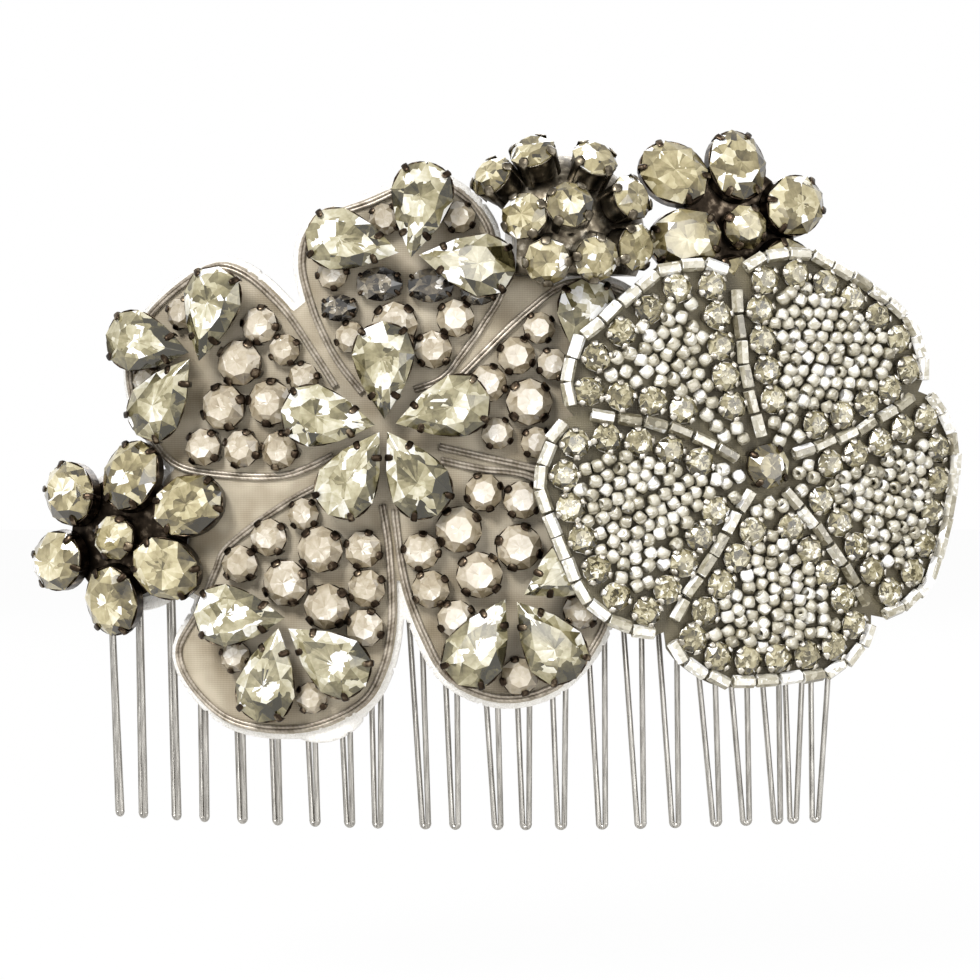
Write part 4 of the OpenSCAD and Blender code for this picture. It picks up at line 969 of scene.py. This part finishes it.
def spaced(line, pitch):
    """Places at equal distances along a line, and the line's direction there."""
    run = runs(line)
    n = int(run[-1] / pitch)
    s = (np.arange(n) + 0.5) * run[-1] / n
    i = np.clip(np.searchsorted(run, s) - 1, 0, len(line) - 2)
    d = line[i + 1] - line[i]
    spots = line[i] + d * ((s - run[i]) / (run[i + 1] - run[i]))[:, None]
    return spots, np.degrees(np.arctan2(d[:, 1], d[:, 0]))


def lobe_line(k, inset, start):
    """Edge line of lobe k, moved in by inset, from start to one less start across it."""
    return lobe_point(k, start + (1 - 2 * start) * np.arange(21) / 20, inset)


def bow(k, s):
    """How far dividing line k bows to its left at a distance s from the middle: half a sine wave."""
    return BOWS[k] * np.sin(np.pi * (s - DIVIDER_FROM) / (NOTCH_R - DIVIDER_FROM))


def turned(a, s, w):
    """Points at distances s along a direction and w to its left."""
    return np.stack([s * np.cos(a) - w * np.sin(a), s * np.sin(a) + w * np.cos(a)], -1)


def divider_line(k, side, start, end):
    """Dividing line k, or a line beside it, from one distance to another."""
    s = start + (end - start) * np.arange(21) / 20
    return turned(math.radians(DIVIDERS[k]), s, side + bow(k, s))


def from_dividers(p):
    """Distance from each point to the nearest dividing line."""
    far = []
    for k, a in enumerate(np.radians(DIVIDERS)):
        s = p @ np.array([np.cos(a), np.sin(a)])
        w = p @ np.array([-np.sin(a), np.cos(a)]) - bow(k, s)
        far.append(np.where(s > 0, np.abs(w), np.linalg.norm(p, axis=1)))
    return np.min(far, 0)


def cut_bugle():
    """Six-sided cut bugle bead: rings of a hexagon along its length, narrowed at the ends, and the bore."""
    t = math.pi / 3 * np.arange(6)
    ring = np.stack([0 * t, np.cos(t), np.sin(t)], -1)
    along = np.array([1.0, 0, 0])
    half, r = BUGLE_L / 2, BUGLE_SHOWN / 2
    bore, end, bevel = 0.42 * r, 0.9 * r, 0.08
    rows = [(-half, bore), (-half, end), (bevel - half, r), (half - bevel, r), (half, end), (half, bore)]
    points = np.concatenate([ring * s + along * x for x, s in rows])
    faces = [ring_faces(q * 6, (q + 1) * 6, 6) for q in range(5)] + [ring_faces(30, 0, 6)]
    return points, [np.concatenate(faces)[:, ::-1]]


def seed_bead():
    """Round seed bead: an oval profile carried round its bore. Returns its points, its faces and the way the
    bead's skin looks at each point."""
    # the profile's corners lie closer on the outer side, which is the one that shows
    p = np.radians([-150, -68, -23, 23, 68, 150])
    n, m = 9, len(p)
    t = (2 * math.pi * np.arange(n) / n)[:, None]
    mid, half = (SEED_SHOWN + BEAD_BORE) / 4, (SEED_SHOWN - BEAD_BORE) / 4

    def spun(x, r):
        return np.stack([np.broadcast_to(x, (n, m)), np.cos(t) * r, np.sin(t) * r], -1).reshape(-1, 3)
    along, out = np.sin(p) * 2 / SEED_L, np.cos(p) / half
    size = np.hypot(along, out)
    i, j = np.meshgrid(np.arange(n), np.arange(m), indexing="ij")
    a, b = (i + 1) % n, (j + 1) % m
    faces = np.stack([i * m + j, i * m + b, a * m + b, a * m + j], -1).reshape(-1, 4)
    return spun(SEED_L / 2 * np.sin(p), mid + half * np.cos(p)), [faces], spun(along / size, out / size)


def painted_light_way(rng, way, spread, count):
    """One direction of painted light for each bead, strewn about a way."""
    light = np.array(way) + rng.normal(0, spread, (count, 3))
    return light / np.linalg.norm(light, axis=1, keepdims=True)


def seed_tones(faces, looks, axes, seed, bright, contrast, painted_glint):
    """Tone at each corner of each seed bead: one for the bead, painted light rising towards the bead's own
    seeded light, painted shade falling towards its foot, with a small painted glint."""
    rng = np.random.default_rng(seed)
    light = painted_light_way(rng, [-0.3, -0.85, 0.4], 0.2, len(axes))
    toward = np.einsum("vk,nkx,nx->nv", looks, axes, light)
    # painted light towards the bead's seeded light, painted shade towards its foot, and a painted glint
    tone = bright + contrast * rng.normal(0, 1, (len(axes), 1)) + 0.32 * (toward - 0.6)
    tone = tone - 0.1 * np.clip(0.5 - looks[:, 2], 0, 1) + painted_glint * np.clip((toward - 0.86) / 0.14, 0, 1)
    return np.clip(tone, 0, 1)[:, faces[0].ravel()].ravel()


def bugle_tones(points, faces, axes, seed, bright, contrast, own, painted_glint):
    """Tone of each face of each bugle: one for the bead, one for the face, painted light and shade by how the
    face looks towards the bead's own seeded light, and a painted glint where it looks straight at it, the
    same at the face's four corners."""
    corner = points[faces[0]]
    normal = np.cross(corner[:, 2] - corner[:, 0], corner[:, 3] - corner[:, 1])
    normal *= np.sign((normal * corner.mean(1)).sum())
    normal /= np.maximum(np.linalg.norm(normal, axis=1, keepdims=True), 1e-9)
    rng = np.random.default_rng(seed)
    light = painted_light_way(rng, [-0.35, -0.8, 0.5], 0.22, len(axes))
    looks = np.einsum("fk,nkx,nx->nf", normal, axes, light)
    tone = bright + contrast * rng.normal(0, 1, (len(axes), 1)) + own * rng.normal(0, 1, looks.shape)
    # painted light and shade by the face's way to the light, and a painted glint
    tone = tone + 0.3 * (looks - 0.5) + painted_glint * np.clip((looks - 0.85) / 0.15, 0, 1)
    return np.repeat(np.clip(tone, 0, 1).ravel(), 4)


def beads(name, node, points, faces, frames, tone, soft=False):
    """Copies of one bead in their frames, as one piece of glass."""
    copies = repeated(faces, len(points), len(frames[0]))
    piece(name, node, placed(points, frames), copies, lined_glass, tone, soft=soft)


def bugles(name, node, rows, seed, bright):
    """Bugle beads along rows of places, each sewn a little off its line."""
    points, faces = cut_bugle()
    spots, turn = np.concatenate([p for p, _ in rows]), np.concatenate([a for _, a in rows])
    rng = np.random.default_rng(seed + 5)
    spots, turn = spots + rng.normal(0, 0.06, spots.shape), turn + rng.normal(0, 3, len(turn))
    lift = CLOTH_TOP + BUGLE_D / 2 + rng.uniform(0, 0.12, len(turn))
    frames = stands(BEADED + spots, lift, turn)
    tone = bugle_tones(points, faces, frames[1], seed, bright, contrast=0.13, own=0.18, painted_glint=0.35)
    beads(name, node, points, faces, frames, tone)


def chain_spots():
    """Places of the chain stones: along the edge, and then along both sides of the dividing lines, inwards,
    wherever the ones before leave room. Also their inset from the edge and their start from the middle."""
    side = BUGLE_D / 2 + BEAD_GAP + CHAIN_CUP_R
    inset = BUGLE_D + BEAD_GAP + CHAIN_CUP_R
    start = BEADED_CENTRE_D / 2 + CUP_WALL + CHAIN_CUP_R
    end = NOTCH_R - inset + CHAIN_PITCH / 2
    rows = [spaced(lobe_line(k, inset, CHAIN_START), CHAIN_PITCH)[0] for k in range(LOBES)]
    rows += [spaced(divider_line(k, s * side, end, start), 0.2)[0] for k in range(LOBES) for s in (-1, 1)]
    spots = np.concatenate(rows)
    spots = spots[(from_dividers(spots) > side - 0.02) & (np.linalg.norm(spots, axis=1) > start + BEAD_GAP)]
    kept = spots[:1]
    for p in spots[1:]:
        if np.linalg.norm(kept - p, axis=1).min() >= 2 * CHAIN_CUP_R + BEAD_GAP / 2:
            kept = np.concatenate([kept, p[None]])
    return kept, inset, start


def chain(spots):
    """Small round stones in claw cups."""
    rng = np.random.default_rng(40)
    frames = stands(BEADED + spots, CLOTH_TOP, rng.uniform(-45, 45, len(spots)))
    d, rim = CHAIN_SHOWN, round_rim(CHAIN_SHOWN)
    stones = stone_group(round_cut(d, rim, 7), frames, seed=41, bright=0.38, contrast=0.3)
    gems("chain_cut_stones", "chain_stones", [stones], chain_glass)
    cups = cup_group(round_cup(d, rim, n=12, width=0.3, path=5, sides=6), frames)
    claws("chain_claws", "chain_cups", [cups], grey_plate)


def settled(spots, chain_at):
    """Seed beads eased apart until they fill the room that their neighbours leave: step by step, each is
    pushed away from every other bead and piece by how far it lies inside that one's reach."""
    lines = np.concatenate([divider_line(k, 0, DIVIDER_FROM, NOTCH_R) for k in range(LOBES)])
    others = np.concatenate([chain_at, lines, [[0, 0]]])
    reaches = [SEED_FROM_CHAIN, SEED_FROM_DIVIDER, SEED_FROM_MIDDLE]
    reach = np.repeat(reaches, [len(chain_at), len(lines), 1])
    rounds, share = 60, 0.2
    for _ in range(rounds):
        push = 0
        for near, far in ((spots, SEED_REACH), (others, reach)):
            gap = spots[:, None] - near[None]
            dist = np.maximum(np.linalg.norm(gap, axis=-1, keepdims=True), 1e-6)
            push = push + (gap / dist * np.clip(np.reshape(far, (1, -1, 1)) - dist, 0, None)).sum(1)
        spots = spots + share * push
    return spots


def seed_spots(chain_at, inset, start):
    """Rows of seed beads in each lobe wherever its chain stones leave room, and the rows' directions."""
    end = LOBE_R - LOBE_DENT - inset
    half = int(end / 2 / SEED_ROW)
    spots, turns = [], []
    for k in range(LOBES):
        a = math.radians(DIVIDERS[k] + SPANS[k] / 2)
        j, i = np.meshgrid(np.arange(-half, half + 1), np.arange(int(end / SEED_PITCH)), indexing="ij")
        p = turned(a, start + (np.abs(j) % 2 / 2 + i) * SEED_PITCH, j * SEED_ROW).reshape(-1, 2)
        swing = np.arctan2(p[:, 1], p[:, 0]) - a
        swing = swing - 2 * np.pi * np.round(swing / (2 * np.pi))
        ok = (np.abs(swing) < math.radians(SPANS[k]) / 2) & (np.linalg.norm(p, axis=1) < end)
        ok &= from_dividers(p) > (BUGLE_D + SEED_D) / 2 + BEAD_GAP
        from_chain = np.linalg.norm(p[:, None] - chain_at[None], axis=-1).min(1)
        ok &= from_chain > CHAIN_CUP_R + SEED_D / 2 + BEAD_GAP / 3
        spots.append(p[ok])
        turns.append(np.full(ok.sum(), math.degrees(a)))
    return settled(np.concatenate(spots), chain_at), np.concatenate(turns)


def seeds(spots, turns):
    """Seed beads sewn by hand: each sits off its row, raised, turned and tipped by seeded amounts."""
    points, faces, looks = seed_bead()
    rng = np.random.default_rng(34)
    spots, turns = spots + rng.normal(0, 0.13, spots.shape), turns + rng.normal(0, 30, len(turns))
    lift = CLOTH_TOP + SEED_D / 2 + rng.uniform(-0.05, 0.5, len(turns))
    origin, axes = stands(BEADED + spots, lift, turns)
    tip = np.radians(rng.normal(0, 15, len(turns)))[:, None]
    along, across, out = axes[:, 0], axes[:, 1], axes[:, 2]
    tipped = np.cos(tip) * along + np.sin(tip) * out
    axes = np.stack([tipped, across, np.cos(tip) * out - np.sin(tip) * along], 1)
    tone = seed_tones(faces, looks, axes, seed=33, bright=0.52, contrast=0.17, painted_glint=0.45)
    beads("seed_rows", "seed_beads", points, faces, (origin, axes), tone, soft=True)


def beaded_middle():
    """Large round stone in the middle of the beaded flower."""
    d, rim = BEADED_CENTRE_SHOWN, round_rim(BEADED_CENTRE_SHOWN)
    frames = stands(BEADED, CLOTH_TOP, spin=12.0)
    stones = stone_group(round_cut(d, rim, 10), frames, seed=51, bright=0.3, contrast=0.16)
    gems("beaded_cut_middle", "beaded_centre_stone", [stones], champagne)
    claws("beaded_middle_claws", "beaded_centre_cup", [cup_group(round_cup(d, rim, width=0.15), frames)])


def sewn_loops():
    """Loops of thread: out of the felt's back, round the spine rod on a half circle and in again."""
    r = SPINE_ROD_R + THREAD_D / 2 + THREAD_GAP
    turn = np.linspace(-math.pi / 2, math.pi / 2, 25)
    leg = np.linspace(CURVE_R - FELT_T - SPINE_R, 0, 8)[:-1]
    path = even(np.concatenate([np.stack([leg, 0 * leg + r], -1),
        np.stack([-r * np.cos(turn), -r * np.sin(turn)], -1), np.stack([leg[::-1], 0 * leg - r], -1)]), 0.12)
    strands = []
    for a in (np.arange(LOOP_COUNT) - LOOP_COUNT // 2) * LOOP_PITCH / SPINE_R:
        out = np.array([math.sin(a), -math.cos(a), 0])
        line = np.array([0, SPINE_R, 0]) + (SPINE_R + path[:, :1]) * out + path[:, 1:] * np.array([0, 0, 1.0])
        side = np.broadcast_to(np.array([math.cos(a), math.sin(a), 0]), line.shape)
        strands.append(wound_cord(line, side, THREAD_D, pitch=0.6, deep=0.2))
    cord_piece("thread_loops", "sewing_loops", strands, thread)


edge_rows = [spaced(lobe_line(k, BUGLE_D / 2, BUGLE_START), BUGLE_PITCH) for k in range(LOBES)]
divider_end = NOTCH_R - BUGLE_D - BEAD_GAP
divider_rows = [spaced(divider_line(k, 0, DIVIDER_FROM, divider_end), BUGLE_PITCH) for k in range(LOBES)]
# the edge bugles are painted brighter and the dividing ones darker, as lit and shaded copies of one bead
bugles("edge_cut_bugles", "edge_bugles", edge_rows, seed=31, bright=0.6)
bugles("divider_cut_bugles", "divider_bugles", divider_rows, seed=32, bright=0.3)
chain_at, chain_inset, chain_start = chain_spots()
chain(chain_at)
seeds(*seed_spots(chain_at, chain_inset, chain_start))
beaded_middle()
sewn_loops()


# Solids shown as they are


def dress(material, *names):
    """Gives solids that are shown as they are their material."""
    for name in names:
        nodes[name].data.materials.clear()
        nodes[name].data.materials.append(material)


dress(steel, "comb_spine", "comb_teeth")
dress(dark_plate, "left_posy_plate", "right_posy_plate")
dress(worn_plate, "cluster_plate")


# Stage


def floor():
    """Pale floor below the comb, nearly white to the camera."""
    mesh = bpy.data.meshes.new("floor")
    half, z = 4, -0.06
    corners = [(-half, -half, z), (half, -half, z), (half, half, z), (-half, half, z)]
    mesh.from_pydata(corners, [], [(0, 1, 2, 3)])
    made = bpy.data.objects.new("floor", mesh)
    bpy.context.scene.collection.objects.link(made)
    paint, tree, shader = surface("pale_floor", Roughness=0.9, Base_Color=linear("#f4f3f1"))
    seen = add(tree, "LightPath", out="Is Camera Ray")
    share = add(tree, "Math", {0: seen, 1: 0.97}, operation="MULTIPLY")
    glow = add(tree, "Emission", {"Color": (1, 1, 1, 1), "Strength": 1.0})
    mixed = add(tree, "MixShader", {0: share, 1: shader.outputs[0], 2: glow})
    feed(tree, tree.nodes["Material Output"], Surface=mixed)
    mesh.materials.append(paint)


def surroundings():
    """White surroundings, dimmer as a light than to the eye."""
    world = bpy.data.worlds.new("studio")
    bpy.context.scene.world = world
    world.use_nodes = True
    tree = world.node_tree
    path = add(tree, "LightPath").node.outputs
    either = add(tree, "Math", {0: path["Is Camera Ray"], 1: path["Is Glossy Ray"]}, operation="MAXIMUM")
    either = add(tree, "Math", {0: either, 1: path["Is Transmission Ray"]}, operation="MAXIMUM")
    strength = add(tree, "MapRange", {"Value": either, "To Min": 0.2, "To Max": 1.0})
    back = tree.nodes["Background"]
    back.inputs["Color"].default_value = (1, 1, 1, 1)
    feed(tree, back, Strength=strength)


def lamps():
    """Soft square lamps that look at the comb: name, place, size in metres, power in watts."""
    for name, spot, size, power in (("key", (-0.45, -0.75, 0.7), 0.35, 13.0),
            ("fill", (0.7, -0.7, 0.25), 0.6, 3.0), ("low", (0.1, -0.8, -0.04), 0.3, 1.2),
            ("back", (0.1, 0.8, 0.6), 0.6, 5.0)):
        lamp = bpy.data.lights.new(name, "AREA")
        lamp.size = size
        lamp.energy = power
        made = bpy.data.objects.new(name, lamp)
        made.location = spot
        look = -np.array(spot) / np.linalg.norm(spot)
        made.rotation_euler = (math.acos(-look[2]), 0, math.atan2(-look[0], look[1]))
        bpy.context.scene.collection.objects.link(made)


def camera():
    """Camera straight in front of the comb."""
    lens = bpy.data.cameras.new("camera")
    lens.sensor_fit = "HORIZONTAL"
    lens.angle = math.radians(20.66)
    lens.clip_start = 0.01
    made = bpy.data.objects.new("camera", lens)
    made.location = (0.00298, -0.3231, 0.00357)
    made.rotation_euler = (math.pi / 2, 0, 0)
    bpy.context.scene.collection.objects.link(made)
    bpy.context.scene.camera = made


floor()
surroundings()
lamps()
camera()
bpy.context.scene.view_settings.view_transform = "Standard"
